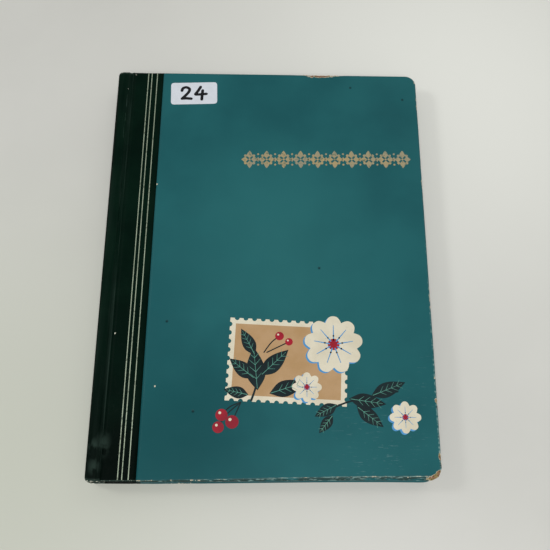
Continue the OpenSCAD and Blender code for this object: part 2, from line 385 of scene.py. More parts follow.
@dataclass(frozen=True)
class BookCloth(Finish):
    """Embossed leatherette book cloth: a pyroxylin coat with a fine pebble grain, near black.

    The coat gives a low sheen that breaks up on the pebbles, greyer where it has been dragged, and
    the pale base cloth shows at the worn folds.
    """

    rubbed: str = "#3b4d45"
    chalk: str = "#b3b4a6"
    # Painted shade: a near-black laid broadly over the cloth towards the tail of the spine.
    soiled: str = "#000503"
    drags: tuple = ((10, -132, 7, 1.7), (4.5, -133, 6, 1.3), (5.5, -146, 6, 1.3))
    ridges: tuple = ((7.6, 60, 1.1, 120), (5.9, 120, 0.9, 60))
    specks: tuple = (
        (12, -57.7, 1.2), (8.2, -62.5, 0.8), (6.4, 138, 0.55), (11.5, 150.8, 0.6), (7.6, -137.5, 0.8),
    )

    def dress(self, p: Pattern) -> dict:
        """Pebble grain, streaks along the joints, painted shade and scuffs at the tail of the spine."""
        groups = (self.drags, self.ridges, self.specks)
        drags, ridges, specks = (p(Op.MOST, *(p.near(*at) for at in group)) for group in groups)
        rub = p(Op.CARRIED, attribute_name="rub")
        streaked = p(Op.TIMES, rub, p.patches(3, 0.35, 0.75, 6, (1, 0.06, 1)))
        dragged = p(Op.TIMES, drags, p.patches(5, 0.4, 0.55, 6, (1, 0.6, 1)))
        ridged = p(Op.TIMES, ridges, p.patches(2.4, 0.56, 0.6, 5, (2.6, 0.22, 1)))
        scuffed = p(Op.MOST, streaked, dragged, ridged)
        bare = p(Op.CARRIED, attribute_name="bare")
        worn = p(Op.STEP, p(Op.PLUS, bare, p.cloud(0.9, 6, (0.7, 1, 1))), 1.04, 1.1)
        chips = p(Op.STEP, p(Op.PLUS, specks, p.cloud(0.7, 3)), 0.95, 1.0)
        shade = p.layered(
            self.tone(p, 30, detail=5),
            # Painted shade darkens the cloth broadly towards the tail of the spine.
            (self.soiled, p.near(14, -150, 80), 0.9),
            (self.rubbed, scuffed, 0.42),
            (self.rubbed, p(Op.STEP, bare, 0.28, 0.5, 0.55)),
            (self.chalk, p(Op.MOST, worn, chips)),
        )
        # The pebbles of such cloth are about 0.4 mm; they are drawn at 1 mm so that they show.
        normal = p(Op.RELIEF, p(Op.CELLS, p.place, 1 / MM), 0.05 * MM)
        normal = p(Op.RELIEF, p.patches(7, 0.49, 0.6, 6, (1, 0.5, 1)), 0.12 * MM, normal)
        rough = p(Op.BLEND, scuffed, self.roughness, self.roughness + 0.2)
        return {"Base Color": shade, "Roughness": rough, "Normal": normal}


@dataclass(frozen=True)
class Foil(Finish):
    """Hot-stamped imitation gold foil: a thin satin metal film, duller where it has rubbed."""

    metallic: float = 0.3
    roughness: float = 0.45
    worn: str = "#5d6a55"

    def dress(self, p: Pattern) -> dict:
        """Foil that thins into the cloth or paper under it."""
        thin = p.patches(1.6, 0.54, 0.68, 6)
        return {
            "Base Color": p(Op.MIX, thin, self.tone(p, 18, 0.35, 0.65, 3), self.worn),
            "Metallic": p(Op.BLEND, thin, self.metallic, 0.1),
            "Roughness": p(Op.BLEND, thin, self.roughness, 0.6),
            "Normal": p(Op.RELIEF, p.cloud(0.7, 3), 0.01 * MM),
        }


@dataclass(frozen=True)
class Ink(Finish):
    """Screen-printed enamel ink: an opaque, even, faintly raised film with pinholes of wear."""

    roughness: float = 0.45
    pinhole: str = "#55706c"

    def dress(self, p: Pattern) -> dict:
        """Even ink with a faint mottle and scattered pinholes."""
        holes = p(Op.STEP, p.cloud(0.9, 4), 0.7, 0.74, 0.6)
        return {
            "Base Color": p(Op.MIX, holes, self.tone(p, 14), self.pinhole),
            "Normal": p(Op.RELIEF, p.cloud(0.6, 2), 0.008 * MM),
        }


@dataclass(frozen=True)
class Board(Finish):
    """Strawboard: pressed fibres, tan, rough and slightly layered at a broken edge."""

    def dress(self, p: Pattern) -> dict:
        """Short fibres of two tones in thin layers."""
        fibre = p.cloud(1.1, 7, (0.4, 1, 5))
        shade = p(Op.MIX, p(Op.STEP, fibre, 0.38, 0.62), self.colour, self.second)
        return {"Base Color": shade, "Normal": p(Op.RELIEF, fibre, 0.12 * MM)}


@dataclass(frozen=True)
class Woven(Finish):
    """Plain-woven cloth: matt crossed threads with dark gaps between them."""

    thread: float = 0.5

    def dress(self, p: Pattern) -> dict:
        """Two crossed bands of threads."""
        # The wave turns 20 radians a unit, so a thread is drawn about six times as wide as the real
        # one, so that it shows.
        scale = 1 / (self.thread * MM) / 20
        bands = [p(Op.BANDS, p.place, scale, 0.6, 2, bands_direction=axis) for axis in ("X", "Y")]
        weave = p(Op.TIMES, *bands)
        return {
            "Base Color": p.layered(self.tone(p, self.mottle, 0.3), (self.second, weave, 0.35)),
            "Normal": p(Op.RELIEF, weave, 0.08 * MM),
        }


@dataclass(frozen=True)
class Film(Finish):
    """Clear acetate pocket strip: glass-like, with a frosted line of glue along its foot."""

    def dress(self, p: Pattern) -> dict:
        """Clear film that turns milky where it is glued."""
        glue = p(Op.CARRIED, attribute_name="glue")
        return {
            "Base Color": p(Op.MIX, glue, self.colour, self.second),
            "Roughness": p(Op.BLEND, glue, self.roughness, 0.6),
            "Transmission Weight": 0.92,
            "Normal": p(Op.RELIEF, p.cloud(40, 2, (0.4, 1, 1)), 0.2 * MM),
        }


@dataclass(frozen=True)
class Glassine(Finish):
    """Glassine interleaf: smooth calendered paper, half see-through, with faint cockles."""

    cover: float = 0.45

    def dress(self, p: Pattern) -> dict:
        """Cloudy, half see-through paper."""
        return {
            "Base Color": self.tone(p, 3, 0.35, 0.65, 6),
            "Alpha": self.cover,
            "Normal": p(Op.RELIEF, p.cloud(26, 3, (1, 0.5, 1)), 0.5 * MM),
        }


# Satin teal under a broad soft gloss, then a near-black sheen broken by pebbles.
COVER_PAPER = CoverPaper("varnished_cover_paper", "#185257", "#1f5d61", roughness=0.38, ior=1.2)
BOOK_CLOTH = BookCloth("pebbled_book_cloth", "#01110a", "#041910", roughness=0.45, ior=1.1)
# Dry tan fibres with no shine.
BARE_BOARD = Board("strawboard", "#9c7f52", "#c2a878", roughness=0.9)
# The foil on cloth is pale and greened by the cloth; the one on paper is a dull warm gold.
RULE_FOIL = Foil("gold_foil_on_cloth", "#a1ae97", "#8f9c86", worn="#626d5b")
TITLE_FOIL = Foil("gold_foil_on_paper", "#ab976b", "#948e76")
# Matt cream that has browned in clouds.
ENDPAPER = Finish("aged_endpaper", "#d9d2bd", "#cdc3a8", roughness=0.8, mottle=35)
# A cool smooth white, with black that has soaked in and hardly mirrors.
LABEL_PAPER = Finish("sticky_label_paper", "#d4d9e1", "#cfd4db", roughness=0.55, mottle=6, depth=0.006)
MARKER = Finish("marker_ink", "#08080c", "#0e0e13", roughness=0.4, mottle=2, ior=1.3)
# Fuzzy cream stock, tan where it is thin.
TORN_PAPER = Finish("torn_cover_stock", "#cfc6ae", "#a98c60", roughness=0.9, mottle=1.2, tooth=0.3)
# An open beige gauze, and a close matt black linen.
LINING = Woven("mull_lining", "#c9bfa4", "#8f8468", roughness=0.9, thread=0.9)
GUARD_CLOTH = Woven("guard_linen", "#141414", "#2a2a29", roughness=0.85, thread=0.5)
# Two soft silks that catch a little light.
BAND_LIGHT = Finish("band_silk_cream", "#d8cfae", "#c7bc96", roughness=0.5, mottle=1)
BAND_DARK = Finish("band_silk_green", "#1f5a49", "#174638", roughness=0.5, mottle=1)
# Black cloth greyed by dry glue.
GLUED_FOLDS = Finish("glued_folds", "#1a1917", "#35332d", roughness=0.7, mottle=3)
# Matt black page card, under clear film with sharp glints and smooth milky glassine.
CARD = Finish("black_page_card", "#111112", "#191919", roughness=0.75, mottle=12, tooth=0.5)
FILM = Film("clear_pocket_film", "#f2f5f6", "#c9d2d2", roughness=0.06, ior=1.46)
GLASSINE = Glassine("glassine_interleaf", "#d9dad2", "#e6e6de", roughness=0.35)
# The inks lie flat and even with the sheen of enamel; the dark and red ones mirror less.
INK_CREAM = Ink("ink_cream", "#d9d2bc", "#cdc5ad")
INK_TAN = Ink("ink_tan", "#b18f66", "#a98659")
INK_DARK = Ink("ink_dark_green", "#0c1b1e", "#122528", ior=1.25)
INK_VEIN = Ink("ink_light_green", "#4d8f7c", "#447f72")
INK_RED = Ink("ink_red", "#a0182b", "#861527", roughness=0.42, ior=1.3)
INK_BLUE = Ink("ink_blue", "#3f86bb", "#4a92c4")


# ---------------------------------------------------------------- meshes


def to_frame(point: Sequence[float]) -> Place:
    """Moves a point from the spine's face to the frame's origin, in metres."""
    return ((SPINE_X + point[0]) * MM, point[1] * MM, point[2] * MM)


def link(name: str, data: bpy.types.ID) -> Piece:
    """Adds an object to the scene, at the origin."""
    made = bpy.data.objects.new(name, data)
    bpy.context.scene.collection.objects.link(made)
    return made


def make_piece(
    name: str,
    points: Iterable,
    faces: Iterable,
    finish: Finish,
    smooth: bool = True,
    **values: Sequence[float],
) -> Piece:
    """Makes a piece from points in millimetres, with merged doubles and faces that point outwards.

    Args:
        name: The piece's name.
        points: Points counted from the spine's face.
        faces: Lists of point numbers.
        finish: What the piece is made of.
        smooth: Whether its shading is smooth.
        **values: Numbers that the points carry for the finish, by attribute name.

    Returns:
        The linked object, at the origin.
    """
    mesh = bpy.data.meshes.new(name)
    mesh.from_pydata([to_frame(p) for p in points], [], list(faces))
    for key, given in values.items():
        mesh.attributes.new(key, "FLOAT", "POINT").data.foreach_set("value", given)
    form = bmesh.new()
    form.from_mesh(mesh)
    bmesh.ops.remove_doubles(form, verts=form.verts, dist=1e-7)
    bmesh.ops.recalc_face_normals(form, faces=form.faces)
    form.to_mesh(mesh)
    form.free()
    shade = mesh.shade_smooth if smooth else mesh.shade_flat
    shade()
    mesh.materials.append(finish.material())
    return link(name, mesh)


def lattice(rows: Sequence[Sequence], ring: bool = False, caps: bool = False) -> tuple[list, list]:
    """Joins rows of points by four-sided faces.

    Args:
        rows: Rows of equal length.
        ring: Whether each row closes on itself.
        caps: Whether the first and last rows are filled.

    Returns:
        The points and the faces.
    """
    width = len(rows[0])
    faces = []
    for first in range(0, (len(rows) - 1) * width, width):
        for k in range(width if ring else width - 1):
            after = first + (k + 1) % width
            faces.append((first + k, after, after + width, first + k + width))
    if caps:
        last = (len(rows) - 1) * width
        faces += [tuple(range(width))[::-1], tuple(range(last, last + width))]
    return [p for row in rows for p in row], faces


def loft(name: str, rows: Sequence[Sequence], finish: Finish, **more) -> Piece:
    """Makes a closed piece from rows that each close on themselves."""
    return make_piece(name, *lattice(rows, ring=True, caps=True), finish, **more)


def spread(low: float, high: float, count: int) -> list[float]:
    """Evenly spaced values, with both ends."""
    return [low + (high - low) * k / (count - 1) for k in range(count)]


def arc(cx: float, cy: float, radius: float, start: float, end: float, steps: int) -> list[Point]:
    """Points on an arc, with its ends, for angles in degrees."""
    turns = [math.radians(a) for a in spread(start, end, steps + 1)]
    return [(cx + radius * math.cos(a), cy + radius * math.sin(a)) for a in turns]


def disc(cx: float, cy: float, radius: float, steps: int, start: float = 0) -> list[Point]:
    """The outline of a round shape."""
    return arc(cx, cy, radius, start, start + 360, steps)[:-1]


def turned(points: Iterable[Point], degrees: float, x: float = 0.0, y: float = 0.0) -> list[Point]:
    """Turns points about the origin and then moves them to a place."""
    c, s = math.cos(math.radians(degrees)), math.sin(math.radians(degrees))
    return [(x + px * c - py * s, y + px * s + py * c) for px, py in points]


def flow(points: Sequence[Point], steps: int = 6) -> list[Point]:
    """A smooth curve through a few points, with a number of steps between each two.

    Args:
        points: What the curve goes through.
        steps: How many steps it takes from one to the next.

    Returns:
        The points of the curve, with both ends.
    """
    made = []
    for k in range(len(points) - 1):
        reach = [points[min(max(k + d, 0), len(points) - 1)] for d in (-1, 0, 1, 2)]
        for step in range(steps):
            t = step / steps
            weights = (-t + 2 * t**2 - t**3, 2 - 5 * t**2 + 3 * t**3, t + 4 * t**2 - 3 * t**3, t**3 - t**2)
            made.append(tuple(sum(w * v for w, v in zip(weights, axis)) / 2 for axis in zip(*reach)))
    return [*made, tuple(points[-1])]


def stroke(points: Sequence[Point], width: float, tip: float = 1.0) -> list[Point]:
    """The outline of a pen stroke along a line.

    Args:
        points: The line.
        width: The stroke's width.
        tip: The share of the width that is left at its far end.

    Returns:
        A closed outline with round ends.
    """
    sides, ends = ([], []), []
    for k, (x, y) in enumerate(points):
        before, after = points[max(k - 1, 0)], points[min(k + 1, len(points) - 1)]
        dx, dy = after[0] - before[0], after[1] - before[1]
        half = width / 2 * (1 + (tip - 1) * k / (len(points) - 1))
        scale = half / (math.hypot(dx, dy) or 1.0)
        for side, way in zip(sides, (1, -1)):
            side.append((x - way * dy * scale, y + way * dx * scale))
        ends.append((math.degrees(math.atan2(dy, dx)), half))
    start = arc(*points[0], ends[0][1], ends[0][0] + 90, ends[0][0] + 270, 6)[1:-1]
    end = arc(*points[-1], ends[-1][1], ends[-1][0] - 90, ends[-1][0] + 90, 6)[1:-1]
    return sides[0][::-1] + start + sides[1] + end


def plates(
    name: str, outlines: Iterable[Sequence[Point]], base: float, top: float, finish: Finish
) -> Piece:
    """Makes thin closed plates with straight sides.

    Args:
        name: The piece's name.
        outlines: Each plate's outline in X and Y.
        base: The Z of their undersides.
        top: The Z of their faces.
        finish: What they are made of.

    Returns:
        The piece.
    """
    points, faces = [], []
    for number, outline in enumerate(outlines):
        area = sum(a[0] * b[1] - b[0] * a[1] for a, b in zip(outline, [*outline[1:], outline[0]]))
        turn = outline if area > 0 else outline[::-1]
        # Each plate lies a micron above the last, so that no two faces coincide where they overlap.
        face = top + 0.001 * (number % 12)
        more, sides = lattice([[(x, y, z) for x, y in turn] for z in (base, face)], ring=True, caps=True)
        faces += [tuple(k + len(points) for k in side) for side in sides]
        points += more
    return make_piece(name, points, faces, finish, smooth=False)


def eased(value: float, low: float = 0.0, high: float = 1.0) -> float:
    """A smooth rise from 0 at the low value to 1 at the high one."""
    t = min(1.0, max(0.0, (value - low) / (high - low)))
    return t * t * (3 - 2 * t)


def out_of_square(x: float, y: float) -> Point:
    """Moves a point of the case to where it has been cut and pulled out of square.

    The tail edge runs out towards the spine, and the head of the spine is pulled out a little.

    Args:
        x: Distance from the spine's face.
        y: Distance from the middle.

    Returns:
        The moved point.
    """
    longer = TAIL_OUT * (1 - eased(x, 15, 205)) * eased(-y, 95, SIZES.half)
    pulled = HEAD_OUT * max(0.0, 1 - x / 9) * eased(y, 95, SIZES.half)
    return x - pulled, y - longer


def finish_node(name: str, finish: Finish) -> None:
    """Gives a CAD node a finish in its own material slots."""
    node = FRAME["nodes"][name]
    if not node.material_slots:
        node.data.materials.append(finish.material())
    for holder in node.material_slots:
        holder.material = finish.material()


@dataclass(frozen=True)
class Bend:
    """The stretch over which a piece turns from one body to another."""

    first: str
    second: str
    start: Place
    end: Place


def settle(piece: Piece, body: str | Bend, slot: str, *nodes: str) -> None:
    """Hangs a finished piece on its body, or bakes its place in the frame when it lies on a bend, and hides
    the nodes it stands for.

    Args:
        piece: The piece.
        body: The CAD body it rides on, or the bend between two of them.
        slot: Not used.
        *nodes: The CAD nodes it stands for.
    """
    if nodes:
        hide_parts(*nodes)
    if isinstance(body, Bend):
        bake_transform(piece)
    else:
        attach(piece, body)
    LOG.info("%s: %d faces on %s", piece.name, len(piece.data.polygons), body)


def evaluated(piece: Piece) -> bpy.types.Mesh:
    """A piece's mesh with its modifiers applied."""
    graph = bpy.context.evaluated_depsgraph_get()
    return bpy.data.meshes.new_from_object(
        piece.evaluated_get(graph), preserve_all_data_layers=True, depsgraph=graph
    )


def thicken(piece: Piece, thickness: float) -> None:
    """Gives an open sheet its thickness, on the inner side.

    Args:
        piece: The sheet.
        thickness: How thick it becomes, in millimetres.
    """
    wall = piece.modifiers.new("wall", "SOLIDIFY")
    wall.thickness = thickness * MM
    wall.offset = -1
    mesh = evaluated(piece)
    piece.modifiers.clear()
    piece.data = mesh


# ---------------------------------------------------------------- repeats


def repeat_tree() -> bpy.types.NodeTree:
    """Builds the Geometry Nodes tree that sets copies of a unit along a path.

    Returns:
        A tree with the inputs Path, Unit, Pitch, Follow, Size Spread, Turn Spread, Seed and Finish.
    """
    tree = bpy.data.node_groups.new("copies_along_path", "GeometryNodeTree")
    sockets = (
        ("Path", "Object", None),
        ("Unit", "Object", None),
        ("Pitch", "Float", 0.006),
        ("Follow", "Float", 1.0),
        ("Size Spread", "Float", 0.0),
        ("Turn Spread", "Vector", None),
        ("Seed", "Int", 7),
        ("Finish", "Material", None),
    )
    for name, kind, value in sockets:
        socket = tree.interface.new_socket(name=name, in_out="INPUT", socket_type=f"NodeSocket{kind}")
        if value is not None:
            socket.default_value = value
    tree.interface.new_socket(name="Geometry", in_out="OUTPUT", socket_type="NodeSocketGeometry")
    given = put(tree, "NodeGroupInput").outputs
    path, unit = (
        put(tree, "GeometryNodeObjectInfo", {"Object": given[name]}).outputs["Geometry"]
        for name in ("Path", "Unit")
    )
    each = {"Curve": path, "Length": given["Pitch"]}
    stops = put(tree, "GeometryNodeCurveToPoints", each, mode="LENGTH").outputs
    aim = {"Vector": stops["Tangent"], "Factor": given["Follow"]}
    along = put(tree, "FunctionNodeAlignRotationToVector", aim, axis="X", pivot_axis="Z")
    flipped = {0: given["Turn Spread"], 1: (-1, -1, -1)}
    less = put(tree, "ShaderNodeVectorMath", flipped, operation="MULTIPLY")
    limits = {0: less, 1: given["Turn Spread"], "Seed": given["Seed"]}
    swing = put(tree, "FunctionNodeRandomValue", limits, data_type="FLOAT_VECTOR")
    turns = {"Rotation": along, "Rotate By": swing}
    rotation = put(tree, "FunctionNodeRotateRotation", turns, rotation_space="LOCAL")
    smallest = put(tree, "ShaderNodeMath", {0: 1.0, 1: given["Size Spread"]}, operation="SUBTRACT")
    limits = {2: smallest, 3: 1.0, "Seed": given["Seed"]}
    scale = put(tree, "FunctionNodeRandomValue", limits, data_type="FLOAT").outputs[1]
    copies = {"Points": stops["Points"], "Instance": unit, "Rotation": rotation, "Scale": scale}
    copies = put(tree, "GeometryNodeInstanceOnPoints", copies)
    real = put(tree, "GeometryNodeRealizeInstances", {"Geometry": copies})
    dressed = put(tree, "GeometryNodeSetMaterial", {"Geometry": real, "Material": given["Finish"]})
    put(tree, "NodeGroupOutput", {"Geometry": dressed})
    return tree


class Repeater:
    """Makes plain meshes out of one unit and a path, with the tree above."""

    def __init__(self) -> None:
        """Builds the tree once."""
        self.tree = repeat_tree()
        items = self.tree.interface.items_tree
        self.inputs = {item.name: item.identifier for item in items if item.in_out == "INPUT"}

    def path(self, lines: Sequence[Sequence[Place]], closed: bool) -> Piece:
        """Makes a helper curve from lines of points in millimetres.

        Args:
            lines: The lines.
            closed: Whether each returns to its start.

        Returns:
            The curve.
        """
        curve = bpy.data.curves.new("path", "CURVE")
        curve.dimensions = "3D"
        for line in lines:
            spline = curve.splines.new("POLY")
            spline.points.add(len(line) - 1)
            for at, point in zip(spline.points, line):
                at.co = (*to_frame(point), 1)
            spline.use_cyclic_u = closed
        return link("path", curve)

    def make(
        self,
        name: str,
        unit: Piece,
        lines: Sequence[Sequence[Place]],
        pitch: float,
        finish: Finish,
        closed: bool = False,
        follow: bool = True,
        **spreads: object,
    ) -> Piece:
        """Sets copies of a unit along lines and keeps them as one plain mesh.

        Args:
            name: The piece's name.
            unit: A piece drawn round the spine's face, which is used up.
            lines: One or more paths in millimetres.
            pitch: The distance between copies.
            finish: What the copies are made of.
            closed: Whether each path returns to its start.
            follow: Whether the copies turn with the path.
            **spreads: Values for the tree's other inputs, by name with underscores.

        Returns:
            The finished piece.
        """
        # The copies turn about the frame's origin, so the unit moves there from the spine's face.
        unit.data.transform(Matrix.Translation((-SPINE_X * MM, 0, 0)))
        helper = self.path(lines, closed)
        host = link(name, bpy.data.meshes.new(name))
        grower = host.modifiers.new("copies", "NODES")
        grower.node_group = self.tree
        # A pitch a hair short keeps the last copy, which rounding could drop.
        slack = 0.9995
        values = {"Path": helper, "Unit": unit, "Pitch": pitch * MM * slack, "Follow": float(follow)}
        values |= {"Finish": finish.material()} | {key.replace("_", " "): v for key, v in spreads.items()}
        for key, value in values.items():
            grower[self.inputs[key]] = value
        mesh = evaluated(host)
        host.modifiers.remove(grower)
        host.data = mesh
        for spare in (helper, unit):
            bpy.data.objects.remove(spare)
        return host


# ---------------------------------------------------------------- covers


@dataclass(frozen=True)
class Wear:
    """A worn place on a cover: where it is, how far it reaches and what it has lost."""

    x: float
    y: float
    along: float
    across: float
    crush: float
    bare: float

    def share(self, x: float, y: float) -> float:
        """How much of the wear a point has, from 0 to 1."""
        away = ((x - self.x) / self.along) ** 2 + ((y - self.y) / self.across) ** 2
        return max(0.0, 1.0 - away)


FRONT_WEAR = (
    (156, 152.6, 21, 3.4, 0.5, 0.8),
    (222.2, -152.2, 5.0, 2.1, 0.5, 0.73),
    (225.4, -150.9, 4.3, 3.1, 1.2, 0.92),
    (228.0, -148.5, 3.5, 3.6, 1.4, 0.9),
    (229.4, -138.2, 1.9, 4.2, 0.4, 0.82),
    (229.3, -101, 2.6, 5.5, 0.25, 0.6),
    (229.4, -86, 2.2, 4, 0.1, 0.54),
    (229.3, -121, 2.2, 3.4, 0.2, 0.56),
    (73, -152.2, 11, 1.3, 0.1, 0.57),
    (184.6, -150.9, 5.0, 0.9, 0.1, 0.6),
    (208, -151.3, 9, 1.6, 0.1, 0.5),
    (229, 149, 4.5, 6, 0.2, 0.48),
    (229.8, 128, 1.3, 17, 0.1, 0.55),
    (229.7, 60, 1.5, 34, 0.1, 0.47),
    (229.7, -30, 1.5, 30, 0.1, 0.5),
    (24, 153.2, 8, 1.6, 0.1, 0.35),
)
REAR_WEAR = (
    (227, -150, 7, 7, 0.8, 0.65),
    (227, 150.5, 6, 6, 0.6, 0.6),
    (120, 153.4, 18, 2.2, 0.25, 0.5),
    (60, -153.4, 14, 2.0, 0.2, 0.5),
    (230, 20, 2.2, 9, 0.2, 0.5),
    (30, -153.2, 6, 1.6, 0.1, 0.35),
)


@dataclass
class CaseCover:
    """One cover: a board with paper over it, and cloth along its spine side."""

    cover: Cover
    wear: Sequence[Wear]
    corner: float = 8.0
    roll: float = 1.25
    inner_roll: float = 0.6
    turn_in: float = 15.0
    sheet: float = 0.3
    spacing: float = 2.2
    quarter_columns: int = 9
    corner_steps: int = 8
    crush_reach: float = 2.6
    rub_tail: float = 0.81
    rub_fore: float = 0.45
    rub_head: float = 0.3
    rub_reach: float = 4.0
    fold_half: float = 0.62
    tail_fall: float = 0.36
    pastedown: float = 0.2
    outer_stops: tuple[float, ...] = (5.5, 4.5, 4.0, 3.5, 3.0, 2.6, 2.2, 1.8)
    inner_stops: tuple[float, ...] = (2.6, 5.5, 10.0)
    broad_scale: float = 0.31
    fine_scale: float = 0.9

    def tail_slope(self, x: float) -> float:
        """How wide the pressed-down tail edge is: more towards the fore edge."""
        return 0.55 + 0.0095 * x

    def slope(self, x: float, y: float) -> float:
        """How far the pressed-down tail edge of the front cover lies below its flat face."""
        if self.cover is Cover.REAR:
            return 0.0
        width = self.tail_slope(x)
        return self.tail_fall * width * max(0.0, 1 - (y + SIZES.half) / width) ** 1.15

    def rings(self, inset: float, depth: float, roll: float, turn: float) -> list[Point]:
        """The wrap's path from the outer face, round the edge and in.

        Args:
            inset: How far the wrap lies inside the cover's outline.
            depth: How deep its outer face lies.
            roll: The outer edge's radius.
            turn: How far it is turned in on the inner face.

        Returns:
            Pairs of a distance from the outline and a depth.
        """
        thick = SIZES.cover - (2 * depth if inset else self.pastedown)
        path = [(d, depth) for d in (self.corner, *self.outer_stops) if d > roll + inset]
        path += [(inset + roll - x, depth + roll - z) for x, z in arc(0, 0, roll, 90, 0, 7)]
        low = depth + thick - self.inner_roll
        start = inset + self.inner_roll
        path += [(start - x, low - z) for x, z in arc(0, 0, self.inner_roll, 0, -90, 4)]
        return path + [(d, depth + thick) for d in (*self.inner_stops, turn) if start < d <= turn]

    def columns(self, end: float) -> list[float]:
        """Stations along X, with one exactly where the paper meets the cloth."""
        count = round((SIZES.fore - SIZES.quarter) / self.spacing)
        quarter = spread(SIZES.board, SIZES.quarter, self.quarter_columns)
        return quarter + spread(SIZES.quarter, end, count)[1:]

    def rows(self) -> list[float]:
        """Stations along Y between the corners."""
        reach = SIZES.half - self.corner
        return spread(-reach, reach, round(2 * reach / self.spacing))

    def face(self, depth: float) -> list[list[Place]]:
        """The grid of a flat face between the corners, at a depth."""
        return [[(x, y, depth) for x in self.columns(SIZES.fore - self.corner)] for y in self.rows()]

    def outline(self, inset: float) -> list[Point]:
        """The cover's three free sides at a distance inside them, from the tail round to the head.

        Args:
            inset: The distance inside.

        Returns:
            Points in X and Y.
        """
        core = max(self.corner, inset)
        end, reach, radius = SIZES.fore - core, SIZES.half - core, core - inset
        tail = [(x, -SIZES.half + inset) for x in self.columns(end)]
        low = arc(end, -reach, radius, -90, 0, self.corner_steps)[1:-1]
        scale = reach / (SIZES.half - self.corner)
        fore = [(SIZES.fore - inset, y * scale) for y in self.rows()]
        high = arc(end, reach, radius, 0, 90, self.corner_steps)[1:-1]
        return tail + low + fore + high + [(x, -y) for x, y in reversed(tail)]

    def wrap(self, inset: float, depth: float, roll: float, turn: float) -> tuple[list, list]:
        """The outer face as a grid, with rings round the edge to the inner face."""
        points, faces = lattice(self.face(depth))
        rings = [[(x, y, z) for x, y in self.outline(d)] for d, z in self.rings(inset, depth, roll, turn)]
        more, bands = lattice(rings)
        return points + more, faces + [tuple(k + len(points) for k in band) for band in bands]

    def worn(self, x: float, y: float, depth: float) -> tuple[Vector, float, float, float]:
        """Crushes a point and says how rubbed, how bare and how far down the tail slope it is.

        Args:
            x: Distance from the spine's face.
            y: Distance from the middle.
            depth: Distance below the outer face.

        Returns:
            The moved point, in X, Y and depth, and the three shares.
        """
        to_fore, to_side, up = SIZES.fore - x, SIZES.half - abs(y), y + SIZES.half
        edge, front = min(to_fore, to_side), self.cover is Cover.FRONT
        near = max(0.0, 1 - edge / self.crush_reach)
        broad, small = self.broad_scale, self.fine_scale
        shake = noise.noise(Vector((x * broad, y * broad, depth * 0.5 + self.cover.inward)))
        fine = noise.noise(Vector((x * small, y * small, depth * 1.3)))
        bare = max(w.share(x, y) * w.bare for w in self.wear)
        crush = max(w.share(x, y) * w.crush for w in self.wear)
        crush = crush * near * (0.65 + 0.7 * shake) + 0.05 * near * abs(fine)
        # A crushed edge moves inwards and down; the wrap's outer face follows the tail slope.
        inward = Vector((-float(to_fore < self.corner), -math.copysign(to_side < self.corner, y), 0.0))
        moved = Vector((x, y, depth)) + inward * crush * 0.8
        moved.z += crush * 0.55 * max(0.0, 1 - depth / 2.2) + self.slope(x, y) * (1 - depth / SIZES.cover)
        # The rounds of the edges are rubbed, the fore edge more towards the tail, and so is the fold
        # where the tail slope starts.
        fore = self.rub_fore * (1.25 - y / SIZES.half * 0.5) if to_fore < self.rub_reach else 0.0
        head = self.rub_head if y > SIZES.half - self.rub_reach else 0.0
        ridge = max(0.0, 1 - ((edge - 0.7) / 1.5) ** 2) * max(0.0, 1 - depth / 2.4)
        slope = self.tail_slope(x)
        fold = max(0.0, 1 - ((up - slope) / self.fold_half) ** 2) * (depth < 0.5)
        tail = self.rub_tail * (0.66 + 0.42 * x / SIZES.fore)
        bare = max(bare, (0.5 if x < SIZES.quarter else 0.46) * fold * front)
        press = min(1.0, max(0.0, 1.25 - up / slope) * 3) * front
        moved.x, moved.y = out_of_square(moved.x, moved.y)
        return moved, max(max(fore, head) * ridge, tail * fold), bare, press

    def dress_mesh(self, points: list, drop: float = 0.0) -> tuple[list, dict[str, list[float]]]:
        """Wears every point and places it on this cover's side of the album.

        Args:
            points: Points in X, Y and depth.
            drop: How much deeper the outer face lies.

        Returns:
            The placed points, and the shares that they carry, by attribute name.
        """
        placed, shares = [], {"rub": [], "bare": [], "press": []}
        for x, y, depth in points:
            moved, *found = self.worn(x, y, depth)
            fade = max(0.0, 1 - depth / 1.5)
            placed.append((moved.x, moved.y, self.cover.height(moved.z + drop * fade)))
            for values, value in zip(shares.values(), found):
                values.append(value)
        return placed, shares

    def shell(self, name: str, keep: Callable[[float], bool], drop: float, finish: Finish) -> Piece:
        """Makes the part of the wrap whose faces lie on one side of the quarter line.

        Args:
            name: The piece's name.
            keep: Says whether faces at a distance from the spine belong to it.
            drop: How much deeper its outer face lies.
            finish: What it is made of.

        Returns:
            The piece.
        """
        points, faces = self.wrap(0.0, 0.0, self.roll, self.turn_in)
        kept = [f for f in faces if keep(sum(points[k][0] for k in f) / len(f))]
        number = {k: n for n, k in enumerate(sorted({k for f in kept for k in f}))}
        placed, shares = self.dress_mesh([points[k] for k in number], drop)
        piece = make_piece(name, placed, [[number[k] for k in f] for f in kept], finish, **shares)
        thicken(piece, self.sheet)
        return piece

    def board_block(self) -> Piece:
        """Makes the board itself, with the same crushed edges as its wrap."""
        paper = SIZES.paper
        points, faces = self.wrap(paper, paper, self.roll - paper, self.corner)
        more, back = lattice(self.face(SIZES.cover - paper))
        faces += [tuple(k + len(points) for k in f) for f in back]
        placed, _ = self.dress_mesh(points + more)
        piece = make_piece(f"{self.cover.value}_strawboard", placed, faces, BARE_BOARD)
        form = bmesh.new()
        form.from_mesh(piece.data)
        bmesh.ops.holes_fill(form, edges=[e for e in form.edges if e.is_boundary], sides=0)
        bmesh.ops.recalc_face_normals(form, faces=form.faces)
        form.to_mesh(piece.data)
        form.free()
        return piece

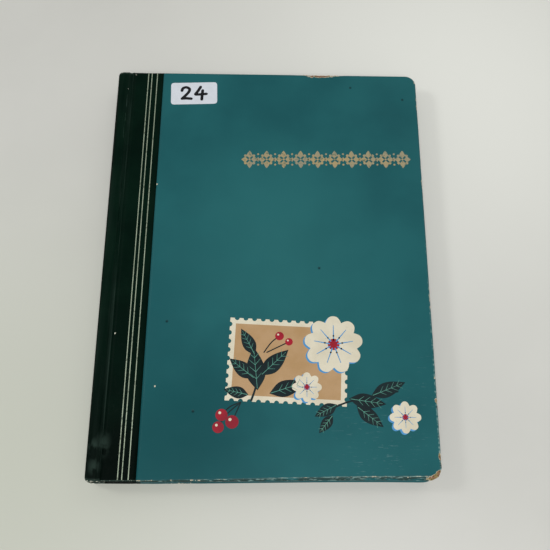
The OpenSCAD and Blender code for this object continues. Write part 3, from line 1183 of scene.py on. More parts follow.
    def build(self) -> None:
        """Makes the board, cloth and paper, and finishes the endpaper."""
        side, body = self.cover.value, self.cover.body
        settle(self.board_block(), body, "board", f"{side}_board")
        cloth = self.shell(f"{side}_quarter_cloth", lambda x: x < SIZES.quarter, 0.05, BOOK_CLOTH)
        settle(cloth, body, "book_cloth", f"{side}_cloth")
        paper = self.shell(f"{side}_cover_paper", lambda x: x > SIZES.quarter, 0.0, COVER_PAPER)
        settle(paper, body, "cover_paper", f"{side}_paper")
        finish_node(f"{side}_pastedown", ENDPAPER)


# ---------------------------------------------------------------- spine and joints


@dataclass
class Case:
    """The cloth from board to board: two joints, and the stiff spine between them."""

    sheet: float = 0.3
    fold: float = 0.6
    spine_side_fold: float = 1.15
    turn_in: float = 15.0
    groove_depth: float = 1.0
    groove_width: float = 3.6
    drop: float = 0.05
    spine_fold: float = 2.6
    cap_out: float = 0.75
    paper_margin: float = 6.0
    paper_thick: float = 0.2
    hump: float = 1.35
    hump_start: float = 0.12
    hump_length: float = 0.8
    round_end: float = 3.0
    blend_end: float = 9.0
    tail_wear: float = 0.56
    head_wear: float = 0.52
    wear_reach: float = 2.8
    strip_gap: float = 0.03
    strip_full: float = 0.9
    strip_short: float = 0.6
    strip_tuck: float = 0.4
    strip_steps: int = 36

    def short(self, x: float) -> float:
        """How much shorter the case is at a distance from the spine's face, where its corners are round."""
        away = max(0.0, self.round_end - x)
        return self.round_end - math.sqrt(self.round_end**2 - away**2)

    def band(self, reach: float, fold: float) -> list[Point]:
        """The cloth's section along Y: its outer face, rounded folds and turn-ins.

        Args:
            reach: Half its height.
            fold: How thick it is at the folded ends.

        Returns:
            A closed loop of Y and depth.
        """
        half = fold / 2
        end, inner = reach - half, reach - self.turn_in
        face = [(y, 0.0) for y in spread(-end, end, 60)[1:-1]]
        head = [(end + y, half - z) for y, z in arc(0, 0, half, 90, -90, 6)]
        turned_in = [(end - 5, fold), (inner, fold), (inner, self.sheet)]
        other = [(-y, z) for y, z in reversed(turned_in)]
        tail = [(-end - y, half - z) for y, z in arc(0, 0, half, -90, 90, 6)]
        return face + head + turned_in + other + tail

    def rounded(self, x: float, y: float) -> Point:
        """Where a point lies once the case's corners are rounded and it is out of square."""
        share = max(0.0, 1 - (SIZES.half - abs(y)) / self.blend_end)
        return out_of_square(x, y - math.copysign(self.short(x) * min(1.0, share * 1.15), y))

    def joint_line(self) -> list[tuple[Point, Point, float, float]]:
        """The joint cloth's path in X and depth, from the spine's face to the board.

        Returns:
            For each stop a point, the direction into the album, the fold's thickness and how rubbed it is.
        """
        round_x, round_z = SIZES.hinge - self.drop, SIZES.hinge
        stops = []
        for angle in spread(180, 270, 7):
            away = (math.cos(math.radians(angle)), math.sin(math.radians(angle)))
            fold = self.spine_side_fold + (self.fold - self.spine_side_fold) * (angle - 180) / 90
            point = (round_x + round_x * away[0], round_z + round_x * away[1])
            stops.append((point, (-away[0], -away[1]), fold, 0.25))
        start = SIZES.board - self.groove_width
        stops += [((x, self.drop), (0.0, 1.0), self.fold, 0.12) for x in spread(round_x, start, 5)[1:]]
        for k in range(1, 13):
            u = k / 12
            turn = 2 * math.pi * u
            slope = self.groove_depth * math.pi * math.sin(turn) / self.groove_width
            length = math.hypot(1, slope)
            fall = self.groove_depth * (1 - math.cos(turn)) / 2
            point = (start + self.groove_width * u, self.drop + fall)
            stops.append((point, (-slope / length, 1 / length), self.fold, 0.95 if 0.7 < u < 0.97 else 0.3))
        return stops

    def end_wear(self, y: float) -> float:
        """How bare the cloth is worn at its folded ends, more at the tail."""
        worst = self.tail_wear if y < 0 else self.head_wear
        return worst * min(1.0, max(0.0, 1 - (SIZES.half - abs(y)) / self.wear_reach))

    def bend(self, cover: Cover, far: float) -> Bend:
        """The bend between the spine and a cover, from the spine's face to a distance from it."""
        level = cover.height(SIZES.hinge)
        start, end = to_frame((0.0, 0.0, level)), to_frame((far, 0.0, level))
        if cover is Cover.FRONT:
            return Bend("spine", cover.body, start, end)
        return Bend(cover.body, "spine", end, start)

    def joint_cloth(self, cover: Cover) -> None:
        """Makes one joint's cloth, which runs between the cover and the spine.

        Args:
            cover: The cover that the joint carries.
        """
        rows, rubs, bares = [], [], []
        for (x, depth), (nx, nz), fold, rub in self.joint_line():
            loop = self.band(SIZES.half - self.drop, fold)
            rows.append([(*self.rounded(x + nx * z, y), cover.height(depth + nz * z)) for y, z in loop])
            bares += [self.end_wear(y) for y, _ in loop]
            rubs += [rub] * len(loop)
        piece = loft(f"{cover.value}_joint", rows, BOOK_CLOTH, rub=rubs, bare=bares)
        bend = self.bend(cover, SIZES.board - self.groove_width)
        settle(piece, bend, "book_cloth", f"{cover.value}_joint_cloth")

    def hinge_paper(self, cover: Cover) -> None:
        """Makes the endpaper's hinge, pressed down into the joint on the inside.

        Args:
            cover: The cover that it leads to.
        """
        node = f"{cover.value}_hinge_paper"
        low, high = box(node)
        reach = SIZES.half - self.paper_margin
        rows = []
        for x in spread(low.x, high.x, 15):
            u = (x - low.x) / (high.x - low.x)
            along = min(1.0, max(0.0, (u - self.hump_start) / self.hump_length))
            press = self.hump * math.sin(math.pi * along) ** 2
            depth = SIZES.cover - press
            loop = [(y, depth) for y in spread(-reach, reach, 24)]
            loop += [(y, depth - self.paper_thick) for y in spread(reach, -reach, 24)]
            rows.append([(x, y, cover.height(z)) for y, z in loop])
        piece = loft(f"{cover.value}_endpaper_hinge", rows, ENDPAPER)
        settle(piece, self.bend(cover, high.x), "endpaper", node)

    def spine_cloth(self) -> None:
        """Makes the cloth over the spine strip, with its two caps."""
        low, high = SIZES.hinge, SIZES.top - SIZES.hinge
        rows, rubs, bares = [], [], []
        for z in spread(low, high, 19):
            swell = max(0.0, math.sin(math.pi * (z - low) / (high - low)) ** 0.6)
            loop = self.band(SIZES.half - self.drop + self.cap_out * swell, self.spine_fold)
            rows.append([(*self.rounded(inner, y), z) for y, inner in loop])
            rubs += [max(0.0, 1 - min(z - low, high - z) / 4) * 0.6] * len(loop)
            bares += [self.end_wear(y) for y, _ in loop]
        piece = loft("spine_covering", rows, BOOK_CLOTH, rub=rubs, bare=bares)
        settle(piece, "spine", "book_cloth", "spine_cloth")

    def spine_board(self) -> None:
        """Makes the stiff strip in the spine, with its edges and corners rounded like the cloth over them.

        Beside the spine's own cloth its ends stop short, hidden behind the joints' turned-in cloth.
        """
        low, high = box("spine_board")
        middle = SIZES.hinge - self.drop
        radius = middle - low.x - self.strip_gap
        edge, other = SIZES.hinge, SIZES.top - SIZES.hinge
        levels = [(z, self.strip_full) for z in spread(low.z, edge, 7)]
        levels += [(edge, high.x), (other, high.x)]
        levels += [(z, self.strip_full) for z in spread(other, high.z, 7)]
        rows = []
        for z, full in levels:
            past = max(edge - z, z - other, 0.0)
            face = middle - math.sqrt(max(0.0, radius**2 - past**2))
            tail = []
            for x in spread(face, high.x, 9):
                less = self.short(x) + self.strip_short if x <= full else self.turn_in + self.strip_tuck
                tail.append((x, -min(high.y, SIZES.half - less)))
            (near_x, near_y), (far_x, far_y) = tail[0], tail[-1]
            loop = tail + [(far_x, y) for y in spread(far_y, -far_y, self.strip_steps)[1:-1]]
            loop += [(x, -y) for x, y in reversed(tail)]
            loop += [(near_x, y) for y in spread(-near_y, near_y, self.strip_steps)[1:-1]]
            rows.append([(*out_of_square(x, y), z) for x, y in loop])
        settle(loft("spine_strip", rows, BARE_BOARD, smooth=False), "spine", "board", "spine_board")

    def build(self) -> None:
        """Makes both joints and the spine, and finishes what lies inside it."""
        for cover in Cover:
            self.joint_cloth(cover)
            self.hinge_paper(cover)
        self.spine_cloth()
        self.spine_board()
        finish_node("spine_lining", LINING)


# ---------------------------------------------------------------- the bound block


@dataclass
class Block:
    """The leaves' bound edges, with a wound band at the head and one at the tail."""

    repeater: Repeater
    fold_gap: float = 0.12
    thread: float = 0.55

    def folds(self) -> None:
        """Stacks the eight glued folds of the guards."""
        low, high = box("bound_edges")
        pitch = (high.z - low.z) / LEAVES
        half = (pitch - self.fold_gap) / 2
        section = [(x + half, z) for x, z in arc(0, 0, half, 90, 270, 8)]
        section += [(high.x - low.x, -half), (high.x - low.x, half)]
        rows = [[(x, y, z) for x, z in section] for y in (low.y, high.y)]
        unit = loft("fold", rows, GLUED_FOLDS, smooth=False)
        line = [(low.x, 0, low.z + pitch / 2), (low.x, 0, high.z - pitch / 2)]
        piece = self.repeater.make("glued_folds", unit, [line], pitch, GLUED_FOLDS, follow=False)
        settle(piece, "spine", "lining", "bound_edges")

    def band(self, name: str, node: str) -> None:
        """Winds two colours of silk round one band's core.

        Args:
            name: How the pieces' names start.
            node: The CAD node of the band.
        """
        low, high = box(node)
        x, y, half = (low.x + high.x) / 2, (low.y + high.y) / 2, self.thread / 2
        middle = (high.x - low.x) / 2 - half
        ring = []
        for ax, ay in disc(0, 0, 1.0, 20):
            ring.append([(ax * (middle + a), ay * (middle + a), b) for a, b in disc(0, 0, half, 8)])
        points, faces = lattice([*ring, ring[0]], ring=True)
        pitch = 2 * self.thread
        for label, finish, skip in (("light", BAND_LIGHT, 0.0), ("dark", BAND_DARK, self.thread)):
            unit = make_piece("thread", points, faces, finish)
            line = [(x, y, low.z + half + skip), (x, y, high.z - half)]
            piece = self.repeater.make(f"{name}_{label}", unit, [line], pitch, finish, follow=False)
            settle(piece, "spine", "band", node)

    def build(self) -> None:
        """Makes the folds and both bands."""
        self.folds()
        self.band("head_silk", "headband")
        self.band("tail_silk", "tailband")


@dataclass
class Leaf:
    """One pocket leaf: card, cloth guard, clear strips on both pages and an interleaf."""

    repeater: Repeater
    number: int
    rows: int = 9
    strip_height: float = 27.5
    film: float = 0.09
    bulge: float = 0.1
    glue: float = 1.6
    guard_stops: int = 14
    sheet: float = 0.08
    cockle: float = 0.07

    @property
    def body(self) -> str:
        """The CAD body the leaf rides on."""
        return f"leaf_{self.number}"

    def bend(self) -> Bend:
        """The bend between the bound edges and the card."""
        guard, (card, high) = box(f"{self.body}_guard")[0], box(f"{self.body}_card")
        level = (card.z + high.z) / 2
        return Bend("spine", self.body, to_frame((guard.x, 0, level)), to_frame((card.x - 1, 0, level)))

    def guard(self) -> None:
        """Makes the linen guard that hinges the card: the CAD node's mesh, cut across at stations from the
        guard to the card.
        """
        node = f"{self.body}_guard"
        form = bmesh.new()
        form.from_mesh(FRAME["nodes"][node].data)
        bmesh.ops.remove_doubles(form, verts=form.verts, dist=1e-6)
        bmesh.ops.dissolve_limit(form, angle_limit=0.01, verts=form.verts, edges=form.edges)
        for x in spread(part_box(node)[0].x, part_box(f"{self.body}_card")[0].x, self.guard_stops)[1:]:
            parts = form.verts[:] + form.edges[:] + form.faces[:]
            bmesh.ops.bisect_plane(form, geom=parts, plane_co=(x, 0, 0), plane_no=(1, 0, 0), dist=1e-7)
        bmesh.ops.recalc_face_normals(form, faces=form.faces)
        mesh = bpy.data.meshes.new(f"{self.body}_linen")
        form.to_mesh(mesh)
        form.free()
        mesh.materials.append(GUARD_CLOTH.material())
        settle(link(f"{self.body}_linen", mesh), self.bend(), "guard_cloth", node)

    def interleaf(self) -> None:
        """Makes the glassine sheet, which follows the guard and cockles a little."""
        low, high = box(f"{self.body}_sheet")
        card = box(f"{self.body}_card")[0]
        rows = []
        for x in [*spread(low.x, card.x, 7), *spread(card.x, high.x, 22)[1:]]:
            t = min(1.0, (x - low.x) / (card.x - low.x))
            z = low.z + (high.z - self.sheet - low.z) * eased(t)
            under = []
            for y in spread(low.y, high.y, 28):
                wave = noise.noise(Vector((x * 0.02, y * 0.014, self.number * 3.7)))
                under.append((x, y, z + self.cockle * (wave - 0.4) * t))
            rows.append([(x, y, w + self.sheet) for x, y, w in under] + under[::-1])
        piece = loft(f"{self.body}_interleaf", rows, GLASSINE)
        settle(piece, self.bend(), "sheet", f"{self.body}_sheet")

    def strip_unit(self, length: float, up: float) -> Piece:
        """Makes one film strip that is glued at its foot and stands open at its mouth.

        Args:
            length: Its length.
            up: 1 for the upper page and -1 for the lower one.

        Returns:
            The strip.
        """
        tall, glue = self.strip_height, self.glue
        stops = [(0.0, 0.0), (glue, 0.0), (glue * 2, 0.3)]
        stops += [(tall * 0.5, 1.0), (tall - 1.0, 0.8), (tall, 1.15)]
        rows, values = [], []
        for x in spread(-length / 2, length / 2, 13):
            sway = self.bulge * (0.85 + 0.15 * math.cos(x * 0.09))
            inner = [(x, y - tall / 2, up * share * sway) for y, share in stops]
            rows.append([(x, y, z + up * self.film) for x, y, z in inner] + inner[::-1])
            foot = [float(y <= glue) for y, _ in stops]
            values += foot + foot[::-1]
        return loft("strip", rows, FILM, smooth=False, glue=values)

    def strips(self, side: str) -> None:
        """Sets the rows of strips on one page.

        Args:
            side: Which page, up or down.
        """
        node = f"{self.body}_strips_{side}"
        low, high = box(node)
        card_low, card_high = box(f"{self.body}_card")
        up, face = (1.0, card_high.z) if side == "up" else (-1.0, card_low.z)
        pitch = (high.y - low.y - self.strip_height) / (self.rows - 1)
        unit = self.strip_unit(high.x - low.x, up)
        x, half = (high.x + low.x) / 2, self.strip_height / 2
        line = [(x, low.y + half, face), (x, high.y - half, face)]
        piece = self.repeater.make(f"{self.body}_pockets_{side}", unit, [line], pitch, FILM, follow=False)
        settle(piece, self.body, "strip", node)

    def build(self) -> None:
        """Makes the leaf's pieces and finishes its card."""
        finish_node(f"{self.body}_card", CARD)
        self.guard()
        self.strips("up")
        self.strips("down")
        self.interleaf()


# ---------------------------------------------------------------- decoration


class Layer(Enum):
    """The order of printing, which says how high each layer lies above the paper."""

    FRAME = 1
    FIELD = 2
    SHADE = 3
    SHAPE = 4
    LINE = 5
    ACCENT = 6

    @property
    def top(self) -> float:
        """The Z of the layer's face."""
        return SIZES.top + 0.017 * self.value


@dataclass
class Gilding:
    """Foil on the front cover: three long rules on the cloth and a row of ornaments on the paper."""

    repeater: Repeater
    cover: CaseCover
    rules: tuple[float, ...] = (21.35, 24.05, 28.2)
    rule_width: float = 0.58
    film: float = 0.03
    start: Point = (101.5, 77.6)
    pitch: float = 12.75
    count: int = 10
    rise: float = 0.014
    lobe: float = 6.1

    def rule(self, x: float) -> tuple[list, list]:
        """One rule: a strip of foil from the tail edge to the round of the head edge.

        Args:
            x: Its distance from the spine's face.

        Returns:
            Its points and faces.
        """
        roll, half = self.cover.roll, self.rule_width / 2
        low = out_of_square(x, -SIZES.half)[1] + self.cover.tail_slope(x) + 0.4
        rows = []
        for y in [*spread(low, SIZES.half - 8, 60), *spread(SIZES.half - 2, SIZES.half - 0.35, 6)]:
            near = max(0.0, roll - (SIZES.half - y))
            z = SIZES.top - 0.05 - (roll - math.sqrt(max(0.0, roll**2 - near**2)))
            section = ((-half, -0.05), (-half, self.film), (half, self.film), (half, -0.05))
            rows.append([(x + a, y, z + b) for a, b in section])
        return lattice(rows, ring=True, caps=True)

    def build_rules(self) -> None:
        """Makes the three rules as one piece."""
        points, faces = [], []
        for x in self.rules:
            more, bands = self.rule(x)
            faces += [tuple(k + len(points) for k in band) for band in bands]
            points += more
        piece = make_piece("gold_rules", points, faces, RULE_FOIL, smooth=False)
        settle(piece, Cover.FRONT.body, "book_cloth")

    def rosette(self) -> list[list[Point]]:
        """One ornament: four leaf-shaped lobes and four beads round a middle bead."""
        lobes = []
        for k in range(4):
            tip, wide = self.lobe * (1.2 if k % 2 else 1.0), self.lobe * 0.36
            shape = flow([(1.1, 0.0), (3.2, wide), (tip * 0.82, wide * 0.5)], 5)
            shape += flow([(tip, 0.0), (tip * 0.82, -wide * 0.5), (3.2, -wide)], 5)
            lobes.append(turned(shape, 90 * k))
        beads = [disc(x, y, 1.1, 12) for x, y in disc(0, 0, 4.4, 4, 45)]
        return [*lobes, disc(0, 0, 0.9, 14), *beads]

    def lozenge(self) -> list[list[Point]]:
        """The small link between two ornaments, with a dot above and below it."""
        shape = [(-1.1, 0.0), (0.0, -2.2), (1.1, 0.0), (0.0, 2.2)]
        return [shape, disc(0, -4.4, 0.8, 12), disc(0, 4.4, 0.8, 12)]

    def build(self) -> None:
        """Stamps the rules, the row of ornaments and the links between them."""
        self.build_rules()
        x, y = self.start
        length, half = self.pitch * (self.count - 1), self.pitch / 2
        for name, outlines, first, last in (
            ("gold_rosettes", self.rosette(), 0, length),
            ("gold_links", self.lozenge(), half, length - half),
        ):
            unit = plates("ornament", outlines, -0.02, self.film, TITLE_FOIL)
            line = [(x + at, y + at * self.rise, SIZES.top) for at in (first, last)]
            piece = self.repeater.make(name, unit, [line], self.pitch, TITLE_FOIL)
            settle(piece, Cover.FRONT.body, "cover_paper")


@dataclass
class Print:
    """The printed picture: a perforated panel with a leafy sprig, blossoms and berries."""

    repeater: Repeater
    centre: Point = (130.0, -76.0)
    tilt: float = -2.5
    pitch: float = 6.0
    teeth: tuple[int, int] = (13, 9)
    notch: float = 1.65
    border: float = 2.4
    slip: float = 1.1
    ring: float = 0.55
    bead_ring: float = 0.3
    leaves: tuple = (
        (110, -96, 96, 30, 13), (108, -88, 142, 22, 10), (112, -86, 44, 26, 11), (108, -72, 118, 21, 9),
        (118, -98, 18, 26, 11), (104, -99, 168, 17, 8), (171, -101, -8, 25, 10), (176, -106, -38, 22, 9.5),
        (186, -99, 22, 25, 10), (163, -105, 208, 17, 8), (160, -112, 232, 15, 7),
    )
    stems: tuple = (
        (((106, -102.5), (109, -92), (108, -80), (104, -66)), 1.5, 0.6),
        (((150, -112), (168, -104), (186, -99.5), (204, -96)), 1.4, 0.5),
    )
    fruit: tuple = (
        ((99, -104), (92, -107), (86.5, -112.5), 4.0),
        ((99, -104), (96.5, -110), (93.5, -117.0), 4.4),
        ((99, -104), (90, -112), (84.5, -120.5), 3.8),
        ((114, -70), (119, -63), (124.5, -58.5), 3.0),
        ((116, -70), (124, -66), (131.0, -62.5), 2.6),
    )
    blossoms: tuple = (
        ("blossom_large", 161.5, -64.0, 20.0, 8),
        ("blossom_small", 208.0, -113.0, 10.5, 7),
        ("blossom_middle", 143.0, -93.5, 10.0, 7),
    )

    def on_panel(self, points: Iterable[Point]) -> list[Point]:
        """Turns panel points by its tilt and moves them to its place."""
        return turned(points, self.tilt, *self.centre)

    def add(self, name: str, outlines: Iterable[Sequence[Point]], layer: Layer, finish: Finish) -> None:
        """Prints flat shapes in one ink."""
        piece = plates(name, outlines, SIZES.top - 0.02, layer.top, finish)
        settle(piece, Cover.FRONT.body, "cover_paper")

    def copies(
        self, name: str, unit: Sequence, lines: Sequence, pitch: float, layer: Layer, finish: Finish, **more
    ) -> None:
        """Prints copies of a small shape along lines.

        Args:
            name: The piece's name.
            unit: The shape's outline, drawn round the origin.
            lines: Lines of points, each of which rises a little so that no two copies coincide.
            pitch: The distance between copies.
            layer: The layer they are printed in.
            finish: Their ink.
            **more: Further settings of the repeat.
        """
        shape = plates("unit", [unit], -0.02, 0.0, finish)
        raised = [
            [(x, y, layer.top + 0.012 * k / len(line)) for k, (x, y) in enumerate(line)] for line in lines
        ]
        piece = self.repeater.make(name, shape, raised, pitch, finish, **more)
        settle(piece, Cover.FRONT.body, "cover_paper")

    def panel(self) -> None:
        """The cream panel with its perforated edge, and the tan field."""
        w, h = (n * self.pitch / 2 for n in self.teeth)
        r, half = self.notch, self.pitch / 2
        scoop = arc(half, -r, r, 90, 180, 6)
        corner = [(0.0, 0.0), *scoop, (-r, -r), *[(y, x) for x, y in scoop[::-1]]]
        ways = ((1, 1), (-1, 1), (-1, -1), (1, -1))
        corners = [self.on_panel([(-sx * (w - x), -sy * (h - y)) for x, y in corner]) for sx, sy in ways]
        frame = [(-w, -h), (w, -h), (w, h), (-w, h)]
        self.add("panel_cream", [self.on_panel(frame), *corners], Layer.FRAME, INK_CREAM)
        left = arc(-half, r, r, -90, 0, 6)
        tooth = [*left, *[(-x, y) for x, y in left[::-1]]]
        sides = []
        for a, b in zip(frame[::-1], [*frame[2::-1], frame[3]]):
            share = self.pitch / math.hypot(b[0] - a[0], b[1] - a[1])
            ends = [(a[0] + (b[0] - a[0]) * t, a[1] + (b[1] - a[1]) * t) for t in (share, 1 - share)]
            sides.append(self.on_panel(ends))
        self.copies("panel_perforations", tooth, sides, self.pitch, Layer.FRAME, INK_CREAM)
        w, h = w - self.border, h - self.border
        self.add("panel_field", [self.on_panel([(-w, -h), (w, -h), (w, h), (-w, h)])], Layer.FIELD, INK_TAN)

    def leaf_shape(self, length: float, width: float) -> list[Point]:
        """A pointed leaf that starts at its stalk."""
        stops = ((0.0, 0.0), (0.3, 0.46), (0.62, 0.42), (1.0, 0.0))
        upper = flow([(length * x, width * y) for x, y in stops], 5)
        return upper + [(x, -y) for x, y in reversed(upper[1:-1])]

    def veins(self, length: float, width: float) -> list[list[Point]]:
        """The light lines of a leaf: a middle rib and side ribs.

        Args:
            length: The leaf's length.
            width: Its width.

        Returns:
            The outline of each line.
        """
        lines = [stroke([(length * 0.05, 0), (length * 0.9, 0)], 0.42, 0.4)]
        for k in range(1, 5):
            x = length * (0.1 + 0.16 * k)
            for side in (1, -1):
                lines.append(stroke([(x, 0), (x + length * 0.13, side * width * 0.3)], 0.34, 0.5))
        return lines

    def foliage(self) -> None:
        """Dark leaves with light ribs, inside the panel and trailing out of it."""
        leaves, ribs = [], []
        for x, y, angle, length, width in self.leaves:
            leaves.append(turned(self.leaf_shape(length, width), angle, x, y))
            ribs += [turned(line, angle, x, y) for line in self.veins(length, width)]
        stems = [stroke(flow(line), width, tip) for line, width, tip in self.stems]
        self.add("leaves_dark", leaves + stems, Layer.SHAPE, INK_DARK)
        self.add("leaf_ribs", ribs, Layer.LINE, INK_VEIN)

    def blossom(self, name: str, x: float, y: float, radius: float, petals: int) -> None:
        """A cream blossom with blue shading behind its petals and a red eye.

        Args:
            name: How the pieces' names start.
            x: Distance from the spine's face.
            y: Distance from the middle.
            radius: How far its petals reach.
            petals: How many it has.
        """
        half = [(-0.14, 0.1), (-0.33, 0.5), (-0.2, 0.9)]
        petal = flow([*half, (0.0, 1.0), *[(-px, py) for px, py in half[::-1]]], 4)
        # The unit's Y axis points inwards, because the copies follow a ring that turns left.
        petal = [(-px * radius, (self.ring - py) * radius) for px, py in petal]
        crease = stroke([(0.0, 0.4 * radius), (0.0, -0.12 * radius)], 0.045 * radius, 0.5)
        ring, beads = (disc(x, y, radius * share, 10 * petals, 90) for share in (self.ring, self.bead_ring))
        behind = [(px - self.slip, py - self.slip * 0.8) for px, py in ring]
        pitch = 2 * math.pi * radius / petals
        for part, unit, line, share, layer, ink in (
            ("shade", petal, behind, self.ring, Layer.SHADE, INK_BLUE),
            ("petals", petal, ring, self.ring, Layer.LINE, INK_CREAM),
            ("creases", crease, ring, self.ring, Layer.ACCENT, INK_BLUE),
        ):
            self.copies(f"{name}_{part}", unit, [line], pitch * share, layer, ink, closed=True)
        self.add(f"{name}_eye", [disc(x, y, radius * 0.2, 24)], Layer.ACCENT, INK_RED)
        bead, pitch = disc(0, 0, radius * 0.032, 8), pitch * self.bead_ring
        self.copies(f"{name}_beads", bead, [beads], pitch, Layer.ACCENT, INK_DARK, closed=True)

    def berries(self) -> None:
        """Red berries on short stalks, each with a light glint."""
        stalks = [stroke(flow(line, 5), 0.8) for *line, _ in self.fruit]
        spots = [(*line[-1], r) for *line, r in self.fruit]
        self.add("berry_stalks", stalks, Layer.SHAPE, INK_DARK)
        self.add("berries_red", [disc(x, y, r, 24) for x, y, r in spots], Layer.LINE, INK_RED)
        glints = [disc(x - r * 0.3, y + r * 0.35, r * 0.24, 10) for x, y, r in spots]
        self.add("berry_glints", glints, Layer.ACCENT, INK_CREAM)

    def build(self) -> None:
        """Prints every ink in turn."""
        self.panel()
        self.foliage()
        for blossom in self.blossoms:
            self.blossom(*blossom)
        self.berries()


@dataclass
class Label:
    """A small sticky label with a number written on it by marker."""

    radius: float = 2.3
    curl: float = 0.2
    pen: float = 2.3
    tilt: float = 2.2
    height: float = 0.12
    thickness: float = 0.1
    ink: float = 0.04
    flat_share: float = 1.55
    lesser_curl: float = 0.45
    strokes: tuple = (
        ((-9.4, 2.6), (-8.6, 4.7), (-6.2, 5.5), (-3.7, 4.2), (-4.0, 1.6), (-6.4, -1.6), (-9.3, -4.6)),
        ((-9.1, -4.5), (-6.0, -4.4), (-2.2, -4.8)),
        ((5.0, 5.6), (3.2, 2.4), (1.0, -0.9)),
        ((1.2, -1.1), (5.0, -1.1), (9.4, -0.7)),
        ((6.6, 2.4), (6.2, -1.6), (5.9, -5.6)),
    )

    def lift(self, u: float, v: float) -> float:
        """How far the label stands off at shares of its half sides: only its corners lift."""
        corner = max(0.0, (abs(u) + abs(v) - self.flat_share) / (2 - self.flat_share))
        return self.curl * corner**2 * (1.0 if u * v < 0 else self.lesser_curl)

    def build(self) -> None:
        """Makes the label and its number."""
        low, high = box("label")
        centre = ((low.x + high.x) / 2, (low.y + high.y) / 2)
        # The tilted label's own sides follow from the box that it fills.
        c, s = math.cos(math.radians(self.tilt)), math.sin(math.radians(self.tilt))
        wide, tall = high.x - low.x, high.y - low.y
        half_w, half_h = ((a * c - b * s) / (c * c - s * s) / 2 for a, b in ((wide, tall), (tall, wide)))
        rows = []
        for v in spread(-1, 1, 17):
            row = []
            for u in spread(-1, 1, 31):
                x, y = u * half_w, v * half_h
                dx, dy = abs(x) - (half_w - self.radius), abs(y) - (half_h - self.radius)
                # Within a corner's square, the grid is pulled in to a quarter of a disc.
                if dx > 0 and dy > 0:
                    pull = max(dx, dy) / math.hypot(dx, dy)
                    x = math.copysign(half_w - self.radius + dx * pull, x)
                    y = math.copysign(half_h - self.radius + dy * pull, y)
                z = SIZES.top + self.height + self.lift(x / half_w, y / half_h)
                row.append((*turned([(x, y)], self.tilt, *centre)[0], z))
            rows.append(row)
        sticker = make_piece("number_label", *lattice(rows), LABEL_PAPER, smooth=False)
        if sum(f.normal.z for f in sticker.data.polygons) < 0:
            sticker.data.flip_normals()
        thicken(sticker, self.thickness)
        settle(sticker, Cover.FRONT.body, "label", "label")
        outlines = [turned(stroke(flow(line), self.pen), self.tilt, *centre) for line in self.strokes]
        base = SIZES.top + self.thickness
        ink = plates("label_number", outlines, base, base + self.ink, MARKER)
        settle(ink, Cover.FRONT.body, "label")


@dataclass
class Frays:
    """Torn flakes of cover paper along the worst-worn edges of the front cover."""

    repeater: Repeater
    size: float = 1.1
    pitch: float = 2.1

    def flake(self) -> Piece:
        """One small bent flake."""
        s = self.size
        rows = []
        for x in spread(-s, s, 4):
            rise = 0.18 * (x / s) ** 2
            half = s * 0.35 * (1.15 - abs(x) / s * 0.7)
            section = ((-half, 0.0), (half, 0.1), (half, 0.04), (-half, -0.06))
            rows.append([(x, y, rise + z) for y, z in section])
        return loft("flake", rows, TORN_PAPER, smooth=False)

    def build(self) -> None:
        """Scatters flakes along the head chip, the tail ridge and the crushed corner."""
        z = SIZES.top - 0.5
        half, fore = SIZES.half, SIZES.fore
        lines = [
            [(143, half - 0.55, z), (169, half - 0.55, z)],
            [(fore - 3.4, -half + 2.3, z), (fore - 1.9, -half + 4.6, z)],
            [(fore - 0.45, -104, z), (fore - 0.45, -98, z)],
            [(fore - 0.45, -142, z), (fore - 0.45, -137, z)],
        ]
        spreads = {"Size_Spread": 0.6, "Turn_Spread": (0.5, 0.35, 0.5)}
        piece = self.repeater.make("paper_frays", self.flake(), lines, self.pitch, TORN_PAPER, **spreads)
        settle(piece, Cover.FRONT.body, "board")


# ---------------------------------------------------------------- studio


@dataclass(frozen=True)
class TableTop(Finish):
    """A pale laminate table, plain and slightly warm, with painted light and shade in its colour.

    It reads as one broad tone, painted lighter past the head of the album as a pool of light and painted
    darker at its tail as a shadow.
    """

    # Painted light and painted shadow laid into the table's colour.
    light: str = "#eaebe4"
    dull: str = "#bcbfb2"

    def dress(self, p: Pattern) -> dict:
        """The plain finish, with one broad painted pool of light and one broad painted shadow."""
        found = super().dress(p)
        # Painted light and shade: a lighter field past the head, and a darker field by the spine's tail as
        # a painted shadow.
        fields = ((self.light, p.near(290, 190, 340)), (self.dull, p.near(-70, -150, 300)))
        return found | {"Base Color": p.layered(found["Base Color"], *fields)}


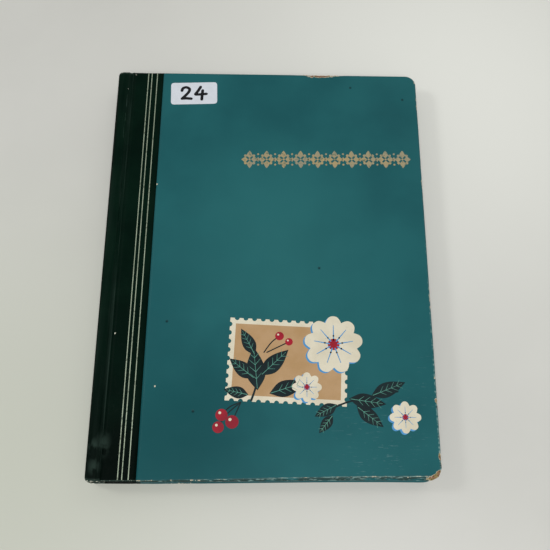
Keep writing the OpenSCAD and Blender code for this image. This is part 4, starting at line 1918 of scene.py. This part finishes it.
@dataclass
class Studio:
    """The pale table, the soft lights and the camera above the album's tail edge."""

    table: float = 3.0
    lens: float = 47.13
    camera_at: Place = (0.61, -185.56, 498.39)
    camera_turn: Place = (19.713, -0.80, 0.389)
    lamps: tuple[tuple[str, Place, float, float], ...] = (
        ("ceiling_panel", (0.0, -0.7, 1.5), 0.8, 16.2),
        ("side_window", (-0.95, 0.15, 1.0), 0.3, 2.9),
        ("far_window", (0.75, 1.0, 1.4), 1.0, 1.7),
    )
    ambient: float = 0.32
    backdrop: float = 0.62

    def floor(self) -> None:
        """Lays the table."""
        half = self.table / 2
        corners = [(x * half, y * half, 0) for x, y in ((-1, -1), (1, -1), (1, 1), (-1, 1))]
        mesh = bpy.data.meshes.new("table_top")
        mesh.from_pydata(corners, [], [(0, 1, 2, 3)])
        finish = TableTop("table_laminate", "#cfcfc9", "#cbcbc5", roughness=0.5, mottle=120, depth=0.004)
        mesh.materials.append(finish.material())
        link("table_top", mesh)

    def lights(self) -> None:
        """Hangs a broad panel overhead and a window to each side, in an even pale room."""
        for name, place, size, power in self.lamps:
            lamp = bpy.data.lights.new(name, "AREA")
            lamp.shape, lamp.size, lamp.energy = "DISK", size, power
            holder = link(name, lamp)
            holder.location = place
            holder.rotation_euler = (-Vector(place)).to_track_quat("-Z", "Y").to_euler()
        world = bpy.data.worlds.new("room")
        world.use_nodes = True
        tree = world.node_tree
        tree.nodes.clear()
        rays = put(tree, "ShaderNodeLightPath").outputs
        seen = rays["Is Camera Ray"]
        for ray in ("Is Glossy Ray", "Is Transmission Ray"):
            seen = put(tree, "ShaderNodeMath", {0: seen, 1: rays[ray]}, operation="MAXIMUM")
        level = put(tree, "ShaderNodeMix", {0: seen, 2: self.ambient, 3: self.backdrop})
        glow = put(tree, "ShaderNodeBackground", {"Color": linear("#fbfbf9"), "Strength": level})
        put(tree, "ShaderNodeOutputWorld", {"Surface": glow})
        bpy.context.scene.world = world

    def camera(self) -> None:
        """Sets the camera, with depth of field off."""
        data = bpy.data.cameras.new("camera")
        data.sensor_width, data.lens = 36.0, self.lens
        data.clip_start, data.clip_end = 0.01, 20.0
        holder = link("camera", data)
        holder.location = Vector(self.camera_at) * MM
        holder.rotation_euler = Euler([math.radians(a) for a in self.camera_turn], "XYZ")
        bpy.context.scene.camera = holder

    def build(self) -> None:
        """Sets up the table, lights, camera and view."""
        self.floor()
        self.lights()
        self.camera()
        bpy.context.scene.view_settings.view_transform = "Standard"


def main() -> None:
    """Builds the album's pieces round the frame, then the studio."""
    logging.basicConfig(level=logging.INFO, format="%(name)s: %(message)s")
    repeater = Repeater()
    rear, front = (
        CaseCover(cover, [Wear(*row) for row in rows])
        for cover, rows in ((Cover.REAR, REAR_WEAR), (Cover.FRONT, FRONT_WEAR))
    )
    leaves = [Leaf(repeater, number) for number in range(1, LEAVES + 1)]
    for part in (
        rear, front, Case(), Block(repeater), *leaves, Gilding(repeater, front), Print(repeater), Label(),
        Frays(repeater), Studio(),
    ):
        part.build()


if __name__ == "__main__":
    main()
